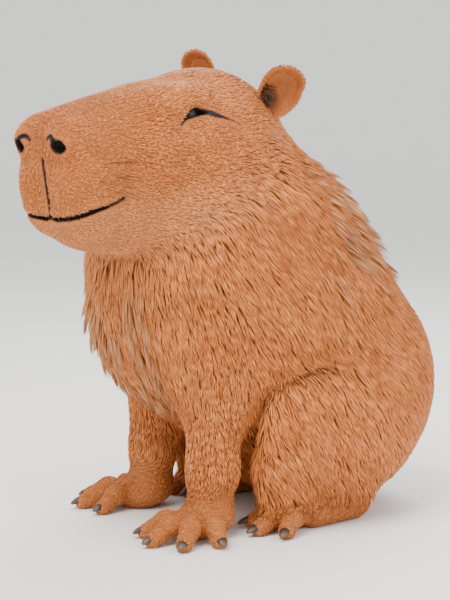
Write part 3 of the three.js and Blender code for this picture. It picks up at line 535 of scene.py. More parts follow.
def surface_net(distance, xs, ys, zs):
    """The surface where the distance is zero. Each grid edge that it crosses gives its crossing to the four
    cells round it, and a face between them, split across its shorter diagonal. Each of these cells has one
    vertex, at the mean of its crossings."""
    flat = np.stack(np.meshgrid(ys, zs, indexing="ij")).reshape(2, -1)
    layers = [np.concatenate([np.full((1, flat.shape[1]), x), flat]).astype(np.float32) for x in xs]
    values = np.stack([distance(layer) for layer in layers]).reshape(len(xs), len(ys), len(zs))
    unit = np.eye(3, dtype=int)
    crossings = []
    rings = []
    for axis in range(3):
        start = np.argwhere(np.diff(values < 0, axis=axis))
        end = start + unit[axis]
        at_start = values[tuple(start.T)]
        t = at_start / (at_start - values[tuple(end.T)])
        ends = zip((xs, ys, zs), start.T, end.T)
        crossings.append(np.stack([line[a] + (line[b] - line[a]) * t for line, a, b in ends], 1))
        u, v = unit[[(axis + 1) % 3, (axis + 2) % 3]]
        ring = np.stack([start - u * i - v * j for i, j in ((0, 0), (1, 0), (1, 1), (0, 1))], 1)
        ring[at_start >= 0] = ring[at_start >= 0][:, ::-1]
        rings.append(ring)
    cells = np.ravel_multi_index(np.concatenate(rings).reshape(-1, 3).T, values.shape)
    _, owner, shared = np.unique(cells, return_inverse=True, return_counts=True)
    crossings = np.repeat(np.concatenate(crossings), 4, 0)
    points = np.stack([np.bincount(owner, row) for row in crossings.T], 1) / shared[:, None]
    quads = owner.reshape(-1, 4)
    gap = [length((points[quads[:, i]] - points[quads[:, i + 2]]).T) for i in (0, 1)]
    turned = np.where((gap[0] < gap[1])[:, None], quads, np.roll(quads, -1, 1))
    return points, np.concatenate([turned[:, [0, 1, 2]], turned[:, [0, 2, 3]]])


def body_skin():
    """The skin's vertices and faces, finest over the eyes, fine on head and toes and broad on the trunk."""
    xs = grid_lines((-204, 5), (-106, 3.2), (166, 5), (206, 0))
    ys = grid_lines((-394, 2.6), (-214, 1.9), (-144, 3.4), (-62, 6), (62, 12), (314, 0))
    zs = grid_lines((-6, 3.4), (66, 11), (390, 2.9), (538, 1.8), (610, 3.4), (655, 0))
    points, faces = surface_net(skin_distance, xs, ys, zs)
    p = points.T.astype(np.float32)
    for _ in range(2):
        p, _ = settle(p, 0, 1.2)
    p[2] = np.maximum(p[2], 0)
    return p.T, faces


def closed_shell(rings, around, flip):
    """Faces of a shell given as rings of points, closed by a middle point before the first and one after the
    last, which are the last two points."""
    index = np.arange(rings * around).reshape(rings, around)
    after = np.roll(index, -1, 1)
    first = index[0] * 0 + rings * around
    faces = np.concatenate([
        np.stack([index[:-1].ravel(), after[:-1].ravel(), after[1:].ravel()], 1),
        np.stack([index[:-1].ravel(), after[1:].ravel(), index[1:].ravel()], 1),
        np.stack([first, after[0], index[0]], 1),
        np.stack([first + 1, index[-1], after[-1]], 1)])
    return faces[:, ::-1] if flip else faces


def round_angles(count):
    """Angles evenly round a circle, as one row."""
    return np.linspace(0, 2 * np.pi, count, endpoint=False)[None]


def ear_shell(side, around=80):
    """One ear: rings of an oval outline run from the middle of the cup out to the rim and back over the
    outside to the middle. The rim is rolled and notched at the back, with a fold inside it. Gives points,
    faces, the share of the way to the rim, the angle round it, and which points are outside."""
    front = np.array([0.08, 0.2, 0.32, 0.44, 0.55, 0.64, 0.72, 0.79, 0.85, 0.9, 0.94, 0.975])
    share = np.concatenate([front, [1.0, 1.022, 1.03, 1.022, 1.0], front[::-1]])[:, None]
    rim = ramp(0, 1, np.linspace(0, 1, 5))
    outside = np.concatenate([0 * front, rim, 0 * front + 1])[:, None]
    angle = round_angles(around)
    notch = 1 - EAR_NOTCH * bump((angle - 0.45) / 0.28)
    half = EAR_WIDE / 2 * (0.78 + 0.22 * np.sin(angle))
    x = half * np.cos(angle) * share * notch
    z = EAR_TALL * (0.42 + 0.58 * np.sin(angle) * share * notch)
    upper = ramp(-0.5, 0.4, np.sin(angle))
    cup = EAR_DEEP * (1 - share ** 2) + 5 * (x / half) ** 2
    roll = EAR_ROLL * bump((share - 0.97) / 0.07) * upper
    fold = EAR_FOLD * bump((share - 0.80) / 0.055) * upper * (1 - outside)
    ridge = EAR_RIDGE * bump((x + 4 - 0.05 * z) / 5) * bump((z - 34) / 16) * (1 - outside)
    thick = EAR_THICK * (1 - 0.3 * bump((share - 1) / 0.1))
    y = cup - roll + fold - ridge + thick * outside
    e = np.stack([x, y, z]).astype(np.float32)
    ends = np.stack([e[:, 0].mean(1), e[:, -1].mean(1)], 1)
    marks = np.stack([share + 0 * x, angle + 0 * x, outside + 0 * x]).reshape(3, -1)
    marks = np.concatenate([marks, column((0, 0, 0)), column((0, 0, 1))], 1)
    e = np.concatenate([e.reshape(3, -1), ends], 1)
    return out_of_ear(e, side).T, closed_shell(len(share), around, side > 0), marks


# The middle of the left eye in the frame says how far all points move to lie in the solids.
EYE_MIDDLE = out_of_head(column(EYE_AT))[:, 0]
low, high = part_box("eye_left")
SHIFT = (np.array(low) + np.array(high)) * 500 - EYE_MIDDLE
BODY = next(iter(frame["bodies"]))


def place_object(name, data):
    """A new object of this data in the scene, at the origin."""
    made = bpy.data.objects.new(name, data)
    bpy.context.scene.collection.objects.link(made)
    return made


def make_piece(name, points, faces, values):
    """A piece from millimetre points and triangles: set into the frame in metres, smooth, riding on the body,
    with each value stored as an attribute of its vertices."""
    mesh = bpy.data.meshes.new(name)
    mesh.vertices.add(len(points))
    mesh.vertices.foreach_set("co", ((points + SHIFT) / 1000).astype(np.float32).ravel())
    mesh.loops.add(faces.size)
    mesh.loops.foreach_set("vertex_index", faces.astype(np.int32).ravel())
    mesh.polygons.add(len(faces))
    mesh.polygons.foreach_set("loop_start", np.arange(0, faces.size, 3, dtype=np.int32))
    mesh.polygons.foreach_set("use_smooth", np.ones(len(faces), bool))
    for key, value in values.items():
        mesh.attributes.new(key, "FLOAT", "POINT").data.foreach_set("value", value.astype(np.float32))
    mesh.update(calc_edges=True)
    piece = place_object(name, mesh)
    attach(piece, BODY)
    return piece


def openings(h):
    """Distance in millimetres to the wall of the nearest opening: mouth, lip's cleft, nostrils with their
    tails, and slits of the eyes with the creases at their corners."""
    m = mirrored(h)
    mouth, share = off_line(h, MOUTH_LINE)
    tail, along = off_line(m, NOSTRIL_TAIL_LINE)
    grooves = [mouth - mouth_groove(share), off_line(h, CLEFT_LINE)[0] - CLEFT_GROOVE,
               tail - tail_groove(along), round_mass(m, NOSTRIL_HOLE, NOSTRIL_HALF)]
    e = in_eye(h)
    slit = np.where(e[0] > 0, np.minimum(off_slit(e), off_corners(e)), 60)
    return np.minimum(np.min(grooves, 0) * HEAD_SCALE, slit)


def markings(p):
    """The markings that skin and coat share. Dark: darker on bridge, crown, nape, spine and feet, and painted
    shade
    along the fold before the haunch. Pale: lighter hair on lips, chin, throat and belly. Bare: naked dark
    skin at
    nostrils, lips and lids. Deep: near-black painted shade inside them and in the creases at the eyes'
    corners.
    Room: millimetres to the nearest of them."""
    near = distances(p)
    of_head, of_foot, of_leg = shares(p, near)
    h = into_head(p)
    spine = bump(p[0] / 95) * ramp(0, 140, p[2] - 300 + 0.9 * (p[1] + 30))
    bridge = bump(h[0] / 34) * ramp(95, 130, h[2])
    fold = flank_fold(p, blend(p, TRUNK), blend(p, HAUNCH))
    dark = 0.35 * spine * (1 - of_head) + 0.3 * bridge * of_head
    # Painted shade: the fold's part of the dark marking darkens skin and coat in the crease before the
    # haunch.
    dark = dark + 0.2 * of_foot + 0.9 * fold ** 4 * (1 - of_leg)
    pale = 0.3 * ramp(60, 10, h[2]) * of_head + 0.2 * ramp(-60, -190, p[1]) * bump(p[0] / 80) * (1 - of_head)
    room = np.where(of_head > 0.2, openings(h), 60)
    # Painted shade: deep paints near black inside mouth, cleft, nostrils and eye slits, and in the creases at
    # the eyes' corners.
    return np.stack([dark, pale, ramp(2.8, 0.8, room), ramp(1.1, 0.3, room), room])


def ear_markings(share, angle, outside):
    """An ear's dark, pale, bare and deep markings: painted shade that deepens into the cup, with a
    near-black spot of painted shade for the mouth of the canal, where the shell has no hole.
    """
    # Painted shade: dark and bare grow towards the cup's middle, and deep paints the canal's mouth near
    # black.
    hollow = (1 - outside) * ramp(0.9, 0.3, share)
    canal = (1 - outside) * bump((share - 0.3) / 0.4) * ramp(0.3, -0.8, np.sin(angle) + 0.5 * np.cos(angle))
    return np.stack([0.3 * hollow, 0 * outside, 0.1 * hollow, 0.6 * canal])


def joined(shapes):
    """Shapes of points, faces and values as one shape, the faces of each numbered on from the last one's."""
    before = np.cumsum([0] + [len(points) for points, _, _ in shapes])
    return (np.concatenate([points for points, _, _ in shapes]),
            np.concatenate([faces + offset for (_, faces, _), offset in zip(shapes, before)]),
            np.concatenate([values for _, _, values in shapes], -1))


skin_points, skin_faces = body_skin()
ears = {side: ear_shell(side) for side in EARS}
shapes = [(skin_points, skin_faces, in_slices(markings, skin_points.T.astype(np.float32))[:4])]
shapes += [(points, faces, ear_markings(*marks)) for points, faces, marks in ears.values()]
points, faces, marks = joined(shapes)
skin = make_piece("skin", points, faces, dict(zip(("dark", "pale", "bare", "deep"), marks)))
SIDES = {"left": 1, "right": -1}
PAIRS = ("foreleg", "forefoot", "thigh", "hindfoot", "ear")
FLESH = ["head", "neck", "torso", "rump", "tail", *[f"{part}_{side}" for part in PAIRS for side in SIDES]]
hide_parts(*FLESH)


def paint(code):
    """An sRGB hex colour turned to the linear values that a shader takes."""
    srgb = np.array([int(code[i:i + 2], 16) for i in (1, 3, 5)]) / 255
    linear = np.where(srgb <= 0.04045, srgb / 12.92, ((srgb + 0.055) / 1.055) ** 2.4)
    return (*linear.tolist(), 1.0)


def add(tree, kind, inputs=(), **fields):
    """One node: fields are set on it, and each input gets a value, or a link where it is given a socket."""
    made = tree.nodes.new("ShaderNode" + kind)
    for key, value in fields.items():
        setattr(made, key, value)
    for key, value in dict(inputs).items():
        if isinstance(value, bpy.types.NodeSocket):
            tree.links.new(value, made.inputs[key])
        else:
            made.inputs[key].default_value = value
    return made


def new_material(name):
    """A material that has no nodes yet, and its node tree."""
    material = bpy.data.materials.new(name)
    material.use_nodes = True
    tree = material.node_tree
    tree.nodes.clear()
    return material, tree


def per_size(millimetres):
    """The scale that makes one cell of a pattern this large."""
    return 1000 / millimetres


def lay_markings(tree, colour, markings):
    """Lays the hex colour of each marking over a colour, as strongly as the vertices' value of its name."""
    for key, code in markings.items():
        amount = add(tree, "Attribute", attribute_name=key).outputs["Fac"]
        colour = add(tree, "Mix", {0: amount, 6: colour, 7: paint(code)}, data_type="RGBA").outputs[2]
    return colour


def finish_material(tree, inputs, relief=None):
    """Closes a material with its surface. A relief is a height pattern, its strength and its millimetres."""
    if relief:
        height, strength, deep = relief
        raised = add(tree, "Bump", {"Height": height, "Strength": strength, "Distance": deep / 1000})
        inputs = {**inputs, "Normal": raised.outputs[0]}
    shader = add(tree, "BsdfPrincipled", inputs)
    add(tree, "OutputMaterial", {"Surface": shader.outputs[0]})


# Hide under short hair: tan, uneven and dull, dark and faintly moist where it is bare.
# Its pores are too fine to show, so their grain is drawn several times as coarse.
HIDE_PATCH = 38
HIDE_GRAIN = 1.6
hide, tree = new_material("short_haired_hide")
place = add(tree, "TexCoord").outputs["Object"]
patches = add(tree, "TexNoise", {"Vector": place, "Scale": per_size(HIDE_PATCH), "Detail": 4}).outputs["Fac"]
grain = add(tree, "TexNoise", {"Vector": place, "Scale": per_size(HIDE_GRAIN), "Detail": 3}).outputs["Fac"]
uneven = add(tree, "MapRange", {0: patches, 1: 0.35, 2: 0.65, 3: 0.0, 4: 0.35}).outputs[0]
tan = add(tree, "Mix", {0: uneven, 6: paint("#b96c37"), 7: paint("#99562b")}, data_type="RGBA").outputs[2]
# Painted shade: the dark colour over the fold before the haunch and in the ear cups, and the near-black deep
# colour inside mouth, cleft, nostrils, eye slits, eye-corner creases and ear canals.
tan = lay_markings(tree, tan, dict(dark="#7a4826", pale="#cb8852", bare="#3a2012", deep="#120805"))
bare = add(tree, "Attribute", attribute_name="bare").outputs["Fac"]
rough = add(tree, "MapRange", {0: bare, 1: 0.0, 2: 1.0, 3: 0.85, 4: 0.62}).outputs[0]
finish_material(tree, {"Base Color": tan, "Roughness": rough, "Specular IOR Level": 0.3}, (grain, 0.35, 0.6))
skin.data.materials.append(hide)


# Coat: coarse guard hair, thin enough to part into flat pointed tufts that lie from nose to rump.
# On the body it is as long as a finger joint and a little shaggy, on the face short and close.
# Each tuft is a closed three-sided blade, its root in the skin and its tip a coat's depth off it.
chance = np.random.default_rng(11)
ON_FLOOR = 0.6


def sow(points, faces, density):
    """Roots over triangles, evenly by area times density. Gives them, their triangles and the way up."""
    corner = points[faces]
    span = np.cross(corner[:, 1] - corner[:, 0], corner[:, 2] - corner[:, 0])
    total = np.cumsum(length(span.T) / 2 * density)
    count = int(total[-1])
    pick = np.searchsorted(total, (np.arange(count) + chance.random(count)) * total[-1] / count)
    pick = np.minimum(pick, len(faces) - 1)
    a, b = chance.random((2, count, 1))
    a, b = np.where(a + b > 1, 1 - a, a), np.where(a + b > 1, 1 - b, b)
    corner = corner[pick]
    root = corner[:, 0] * (1 - a - b) + corner[:, 1] * a + corner[:, 2] * b
    return root.T.astype(np.float32), pick, (span / length(span.T)[:, None])[pick].T


def sided(p, way):
    """One direction for every point, told as for the left half of the body and turned over on the right."""
    way = column(way) + 0 * p
    way[0] *= np.sign(p[0])
    return way


def lie_of_hair(p, near):
    """The way that hair lies: back over the head, down and back on the body, down the legs and out along the
    toes, with a slow swirl."""
    of_head, of_foot, of_leg = shares(p, near)
    body = column((0, 0.45, -0.9))
    way = body + (HEAD_TURN @ sided(into_head(p), (0.1, 1, -0.22)) - body) * of_head
    way = way + (column((0, 0.1, -1)) - way) * of_leg
    way = way + (sided(p, (0.35, -1, -0.5)) - way) * of_foot
    swirl = np.stack([np.sin(p[2] / 47 + p[1] / 61), 0 * p[0], np.sin(p[0] / 53 + p[1] / 39)])
    return way + 0.16 * swirl


def flat_to(way, up):
    """The part of a direction that lies in the surface, at length one."""
    way = way - up * np.einsum("ij,ij->j", way, up)
    return way / (length(way) + 1e-6)


def lay(root, long, heights, stations, stray):
    """Carries tufts over the skin: from each root a step at a time along the lie of the hair, turned by the
    stray angle, and set at each station's height over the skin but never into the floor. Gives the lines and
    the way up along them."""
    p, up = settle(root, heights[0])
    lines = [p]
    ups = [up]
    for before, now, height in zip(stations, stations[1:], heights[1:]):
        way = flat_to(in_slices(lambda q: lie_of_hair(q, distances(q)), p), up)
        way = way * np.cos(stray) + np.cross(up.T, way.T).T * np.sin(stray)
        p, up = settle(p + way * long * (now - before), height, 9)
        p[2] = np.maximum(p[2], ON_FLOOR)
        lines.append(p)
        ups.append(up)
    return np.stack(lines), np.stack(ups)


def locks_of(root, cell):
    """Numbers the locks: tufts are in one lock where their roots share a cube of space, warped to hide it."""
    warped = root + 0.4 * cell * np.sin(root[[1, 2, 0]] / cell * 1.3)
    warped = warped + 0.3 * cell * np.sin(root[[2, 0, 1]] / cell)
    _, lock = np.unique(np.floor(warped / cell).astype(int), axis=1, return_inverse=True)
    return lock.ravel()


def gather(lines, stations, lock, pull):
    """Draws the tufts of each lock together towards their tips."""
    size = np.bincount(lock)
    for line, share in zip(lines[1:], stations[1:]):
        middle = np.stack([np.bincount(lock, row) / size for row in line])[:, lock]
        line += (middle - line) * pull * share ** 1.4


TUFT_ON_MAP = 0.003
MAP_MARGIN = 0.004


def unwrap_round(angle, along, low, high):
    """Places on a map: the turn about a limb or the body across it, and the way along it up the map."""
    u = angle / (2 * np.pi) % 1
    v = (along - low) / (high - low)
    return np.clip(np.stack([u, v]), MAP_MARGIN, 1 - MAP_MARGIN)


def place_on_map(name, p, h):
    """Where roots lie on the unwrap of their part of the skin, turned about the long axis of the head, a leg,
    a foot or the body. Left and right, and fore and hind, have parts of the map of their own. The numbers say
    where that axis runs and from where to where along it the map reaches."""
    left = p[0] > 0
    if name in ("coat_muzzle", "coat_cheeks_and_crown"):
        return unwrap_round(np.arctan2(h[0], h[2] - 75), h[1], -320, 60)
    if name == "coat_forelegs":
        u, v = unwrap_round(np.arctan2(np.abs(p[0]) - 92, -p[1] - 116), p[2], 30, 330)
        return np.stack([(u + left) / 2, v])
    if name == "coat_feet":
        fore = p[1] < -88
        about = np.arctan2(p[2] - 14, np.abs(p[0]) - np.where(fore, 98, 112))
        u, v = unwrap_round(about, p[1], np.where(fore, -250, -95), np.where(fore, -85, 135))
        return np.stack([(u + left) / 2, (v + fore) / 2])
    return unwrap_round(np.arctan2(p[0], -p[1] - 20), p[2], -10, 640)


def tuft_piece(name, lines, ups, wide, thick, shape, place, values):
    """One mesh of tufts. Each ring has a left, a ridge and a right corner about the line, as wide and thick
    as the shape's share of the tuft's own, and the last point closes the tip. A value that isn't given is
    zero. On the map each tuft is a small patch at its root's place."""
    rings = len(lines) - 1
    count = lines.shape[2]
    corners = []
    across = []
    for r in range(rings):
        way = flat_to(lines[r + 1] - lines[max(r - 1, 0)], ups[r])
        side = np.cross(way.T, ups[r].T).T
        half = wide * shape[r][0] / 2
        corners += [lines[r] - side * half, lines[r] + ups[r] * thick * shape[r][1], lines[r] + side * half]
        across += [0, 0.5, 1]
    corners.append(lines[rings])
    across.append(0.5)
    size = len(corners)
    points = np.stack(corners).transpose(2, 0, 1).reshape(-1, 3)
    faces = [(0, 2, 1)]
    for r in range(rings):
        a = 3 * r
        for i, j in ((0, 1), (1, 2), (2, 0)):
            if r + 1 < rings:
                faces += [(a + i, a + j, a + 3 + j), (a + i, a + 3 + j, a + 3 + i)]
            else:
                faces.append((a + i, a + j, a + 3))
    faces = (np.array(faces)[None] + size * np.arange(count)[:, None, None]).reshape(-1, 3)
    along = np.append(np.repeat(np.arange(rings), 3), rings) / rings
    values = {key: np.repeat(values.get(key, 0) + np.zeros(count), size)
              for key in ("tone", "dark", "pale", "grey", "deep")}
    piece = make_piece(name, points, faces, dict(values, along=np.tile(along, count)))
    patch = TUFT_ON_MAP * (np.stack([np.array(across), along]) - 0.5)
    spot = (place.T[:, None] + patch.T[None]).reshape(-1, 2)[faces.ravel()]
    piece.data.uv_layers.new(name="OFBake").data.foreach_set("uv", spot.astype(np.float32).ravel())
    piece.data.materials.append(guard_hair)


# Guard hair: stiff and dry, warm tan and paler towards the tips, in soft patches of lighter and darker.
# Its ridges are drawn as broad as several hairs, because a single hair is too fine to show.
HAIR_PATCH = 55
HAIR_RIDGE = 1.4
guard_hair, tree = new_material("coarse_guard_hair")
place = add(tree, "TexCoord").outputs["Object"]
patches = add(tree, "TexNoise", {"Vector": place, "Scale": per_size(HAIR_PATCH), "Detail": 3}).outputs["Fac"]
ridges = add(tree, "TexNoise", {"Vector": place, "Scale": per_size(HAIR_RIDGE), "Detail": 2}).outputs["Fac"]
tone = add(tree, "Attribute", attribute_name="tone").outputs["Fac"]
light = add(tree, "Math", {0: tone, 1: patches}, operation="ADD").outputs[0]
light = add(tree, "MapRange", {0: light, 1: 0.6, 2: 1.4}).outputs[0]
hair = add(tree, "Mix", {0: light, 6: paint("#c06b31"), 7: paint("#ec954f")}, data_type="RGBA").outputs[2]
along = add(tree, "Attribute", attribute_name="along").outputs["Fac"]
root = add(tree, "MapRange", {0: along, 1: 0.0, 2: 0.55, 3: 0.75, 4: 0.0}).outputs[0]
hair = add(tree, "Mix", {0: root, 6: hair, 7: paint("#874d24")}, data_type="RGBA").outputs[2]
# Painted shade: the dark colour over the tufts in the fold before the haunch. Deep here is the real black of
# whiskers and ear brushes.
hair = lay_markings(tree, hair, dict(dark="#6b3d20", pale="#ecaa74", grey="#ab8f6f", deep="#24150d"))
finish_material(tree, {"Base Color": hair, "Roughness": 0.58, "Specular IOR Level": 0.35}, (ridges, 0.3, 0.4))

ROOT_DEEP = dict(short=0.5, long=1.2)
APART = dict(body=3.8, leg=3.2, head=2.3, muzzle=2.2, foot=2.6)
LONG = dict(body=36, leg=15, head=9, muzzle=5.5, foot=6)
WIDE = dict(body=3.1, leg=2.3, head=1.7, muzzle=1.4, foot=1.5)
TUFT_THICK = 0.32
STRAY = 0.22
SHORT_STATIONS = (0, 0.5, 1)
LONG_STATIONS = (0, 0.36, 0.72, 1)
FACE_LOCK = 7
BODY_LOCK = 15
RAISED_SHARE = 0.36
RAISED_HIGH = (4, 9, 13)
CLEAR_OF_FEATURES = 1.3
CLEAR_OF_FLOOR = 1.3
MUZZLE_BACK = -165
NECK_LOW = 440
BREAST_BACK = -95
RUMP_FRONT = 150
HAUNCH_HIGH = 235


def by_region(sizes, p, near):
    """A size for each point, from a table of one for each part, passing smoothly from part to part."""
    of_head, of_foot, of_leg = shares(p, near)
    of_muzzle = ramp(-120, -230, into_head(p)[1])
    head = sizes["head"] + (sizes["muzzle"] - sizes["head"]) * of_muzzle
    size = sizes["body"] + (sizes["leg"] - sizes["body"]) * of_leg
    size = size + (head - size) * of_head
    return size + (sizes["foot"] - size) * of_foot


def growth(p):
    """Spacing, length and width of the tufts, the coat's depth and the shares of head, foot and leg. Hair is
    shorter round the eyes and in the fold before the haunch."""
    near = distances(p)
    of_head, of_foot, of_leg = shares(p, near)
    sizes = [by_region(table, p, near) for table in (APART, LONG, WIDE)]
    round_eye = bump(length(in_eye(into_head(p))) / 30)
    fold = flank_fold(p, blend(p, TRUNK), blend(p, HAUNCH)) * (1 - of_leg)
    sizes[1] = sizes[1] * (1 - 0.45 * round_eye) * (1 - 0.5 * fold)
    return np.stack([*sizes, coat_depth(p, near), of_head, of_foot, of_leg])


middles = skin_points[skin_faces].mean(1).T.astype(np.float32)
spacing = in_slices(growth, middles)[0]
room = in_slices(markings, middles)[4]
density = np.where((room < CLEAR_OF_FEATURES) | (middles[2] < 1.2), 0, 1 / spacing ** 2)
roots, _, _ = sow(skin_points, skin_faces, density)
_, long, wide, depth, of_head, of_foot, of_leg = in_slices(growth, roots)
dark, pale, _, _, room = in_slices(markings, roots)
head_place = into_head(roots)
x, y, z = roots
count = len(x)
long = np.minimum(long * (0.7 + 0.6 * chance.random(count)), 0.75 * room + 0.6)
wide = wide * (0.8 + 0.5 * chance.random(count)) * ramp(-6, 8, room)
stray = STRAY * chance.standard_normal(count)
small = (of_head > 0.5) | (of_foot > 0.5)
tall = np.minimum(depth * (np.where(small, 0.6, 0.85) + 0.4 * chance.random(count)), 0.22 * room + 0.3)
tone = chance.random(count)
locks = np.where(small, locks_of(roots, FACE_LOCK), locks_of(roots, BODY_LOCK))
nape = ramp(320, 400, z) * ramp(540, 480, z) * ramp(0, 60, y)
breast = ramp(135, 165, z) * ramp(372, 330, z) * ramp(-150, -190, y) * ramp(110, 60, np.abs(x))
stands = np.maximum(nape, breast)
of_lock = chance.random((2, locks.max() + 1))
raised = (of_lock[0][locks] < RAISED_SHARE * stands) & ~small & (of_leg < 0.3)
raised = raised * (0.6 + 0.4 * of_lock[1][locks]) * np.sqrt(stands)
body = ~small & (of_leg <= 0.5)
trunk = body & (z <= NECK_LOW)
sides = trunk & (y >= BREAST_BACK) & (y <= RUMP_FRONT)
REGIONS = {
    "coat_muzzle": small & (of_head > 0.5) & (head_place[1] < MUZZLE_BACK),
    "coat_cheeks_and_crown": small & (of_head > 0.5) & (head_place[1] >= MUZZLE_BACK),
    "coat_feet": small & (of_foot > 0.5),
    "coat_forelegs": ~small & (of_leg > 0.5),
    "coat_neck": body & (z > NECK_LOW),
    "coat_breast": trunk & (y < BREAST_BACK),
    "coat_rump": trunk & (y > RUMP_FRONT),
}
for side, sign in SIDES.items():
    REGIONS[f"coat_flank_{side}"] = sides & (x * sign > 0) & (z > HAUNCH_HIGH)
    REGIONS[f"coat_haunch_{side}"] = sides & (x * sign > 0) & (z <= HAUNCH_HIGH)
for name, chosen in REGIONS.items():
    short = name in ("coat_muzzle", "coat_cheeks_and_crown", "coat_feet")
    stations = SHORT_STATIONS if short else LONG_STATIONS
    d = depth[chosen]
    up = raised[chosen]
    if short:
        heights = [0 * d - ROOT_DEEP["short"], 0.5 * tall[chosen], tall[chosen]]
        shape = ((0.75, 0.7), (1, 1))
    else:
        heights = [0.36 * d, 0.75 * d, tall[chosen]]
        heights = [0 * d - ROOT_DEEP["long"], *[low + most * up for low, most in zip(heights, RAISED_HIGH)]]
        shape = ((0.7, 0.6), (1, 1), (0.7, 0.8))
    reach = long[chosen] * (1 + 0.35 * up)
    lines, ups = lay(roots[:, chosen], reach, heights, stations, stray[chosen] * (1 - 0.8 * up))
    lock = np.unique(locks[chosen], return_inverse=True)[1]
    gather(lines, stations, lock, 0.5 + 0.35 * up)
    lines[:, 2] = np.maximum(lines[:, 2], CLEAR_OF_FLOOR)
    shade = 0.65 * tone[chosen] + 0.35 * chance.random(lock.max() + 1)[lock]
    place = place_on_map(name, roots[:, chosen], head_place[:, chosen])
    values = dict(tone=shade, dark=dark[chosen], pale=pale[chosen], grey=0.4 * up)
    tuft_piece(name, lines, ups, wide[chosen], TUFT_THICK * wide[chosen], shape, place, values)


# Whiskers: stiff dark bristles in rows on the sides of the upper lip, short for so large a head.
# Each springs from the lip and bends back and down, and is a thin closed blade like the tufts.
WHISKER_ROWS = (5, 3)
WHISKER_LONG = 30
WHISKER_WIDE = 1.1
WHISKER_THICK = 0.7
WHISKER_BEND = (0, 5, -6)
back, up = [np.linspace(0, 1, n) for n in WHISKER_ROWS]
back, up, side = np.stack(np.meshgrid(back, up, [1, -1])).reshape(3, -1).astype(np.float32)
stray = chance.random((4, len(side))).astype(np.float32) - 0.5
back = back + 0.14 * stray[0]
up = up + 0.2 * stray[1]
h = on_head(np.stack([4 * side, -262 + 44 * back, 54 + 30 * up]), column((1, 0, 0)) * side)
way = np.stack([0.9 * side, 0.25 + 0.5 * back, 0.45 * up - 0.45 + 0.2 * stray[2]])
long = WHISKER_LONG + 16 * back + 10 * stray[3]
lines = []
for share in LONG_STATIONS:
    line = h + way / length(way) * (long * share - 1) + column(WHISKER_BEND) * share ** 2
    lines.append(out_of_head(line))
ups = np.stack([HEAD_TURN @ (column((0, 0, 1)) + 0 * h)] * len(lines))
tuft_piece("whiskers", np.stack(lines), ups, WHISKER_WIDE, WHISKER_THICK,
           ((1, 1), (0.8, 0.8), (0.5, 0.5)), place_on_map("coat_muzzle", h, h), dict(deep=0.8))


# Hair of the ears: short and close on their backs and round the rims, sparse in the cups, with a dark
# ragged brush that springs from the front inner corner of each and crosses the opening.
# The tufts follow the ear from its foot outwards and stand off the rim as a fine fringe.
BACK_HAIR = 0.36
CUP_HAIR = 0.02
BRUSH_HAIR = 0.25
BRUSH_SHARE = 0.74
BRUSH_ANGLE = 3.5
BRUSH_LONG = 15
BRUSH_WIDE = 2.0
EAR_HAIR_LONG = 3.2
EAR_HAIR_WIDE = 1.0
for word, side in SIDES.items():
    ear_points, ear_faces, (share, angle, outside) = ears[side]
    share, angle, outside = [value[ear_faces].mean(1) for value in (share, angle, outside)]
    brush = bump((share - BRUSH_SHARE) / 0.16) * bump((angle - BRUSH_ANGLE) / 0.62) * (outside == 0)
    in_cup = CUP_HAIR + (BACK_HAIR - CUP_HAIR) * ramp(0.6, 0.9, share)
    density = np.where(outside > 0.5, BACK_HAIR, in_cup) + BRUSH_HAIR * (brush > 0.5)
    roots, pick, normals = sow(ear_points, ear_faces, density)
    count = roots.shape[1]
    e = in_ear(into_head(roots), side)
    is_brush = (brush[pick] > 0.5) & (chance.random(count) < 0.5)
    away = e - column((0, 0, 0.3 * EAR_TALL))
    away[1] = 0
    away = away / length(away) + column((0, 0, 0.5))
    across = np.stack([1 + 0 * share[pick], -0.75 + 0 * share[pick], 0.9 * np.sin(37 * angle[pick]) - 0.1])
    away = np.where(is_brush, across, away)
    away = HEAD_TURN @ (column((side, 1, 1)) * (EARS[side][1] @ away))
    sunk = np.einsum("ij,ij->j", away, normals) * np.where(is_brush, 0, 0.75)
    away = away - normals * sunk
    away = away / length(away)
    stray = 0.25 * chance.standard_normal(count) * ~is_brush
    away = away * np.cos(stray) + np.cross(normals.T, away.T).T * np.sin(stray)
    brush_long = BRUSH_LONG + 9 * chance.random(count)
    long = np.where(is_brush, brush_long, EAR_HAIR_LONG + 2.2 * chance.random(count))
    lift = np.where(is_brush, 0, 0.5)
    lines = np.stack([roots - normals * 0.3, roots + away * long * 0.5 + normals * lift, roots + away * long])
    wide = np.where(is_brush, BRUSH_WIDE, EAR_HAIR_WIDE) * (0.8 + 0.4 * chance.random(count))
    place = np.stack([0.04 + 0.42 * (e[0] / EAR_WIDE + 0.5) + 0.5 * (outside[pick] > 0.5),
                      0.05 + 0.9 * e[2] / EAR_TALL])
    values = dict(tone=chance.random(count), dark=0.15, deep=0.9 * is_brush)
    tuft_piece(f"coat_ear_{word}", lines, np.stack([normals] * 3), wide, 0.3 * wide, ((0.75, 0.7), (1, 1)),
               np.clip(place, MAP_MARGIN, 1 - MAP_MARGIN), values)


# Eyes: dark wet globes, nearly black, with a broad brown iris that shows only as a hint in the light.
# Each is a ball with the cornea's low dome on its front, set in the room behind the lids.
CORNEA_HIGH = 0.7
PUPIL_EDGE = (4.0, 5.2)
IRIS_EDGE = (9.5, 11.5)


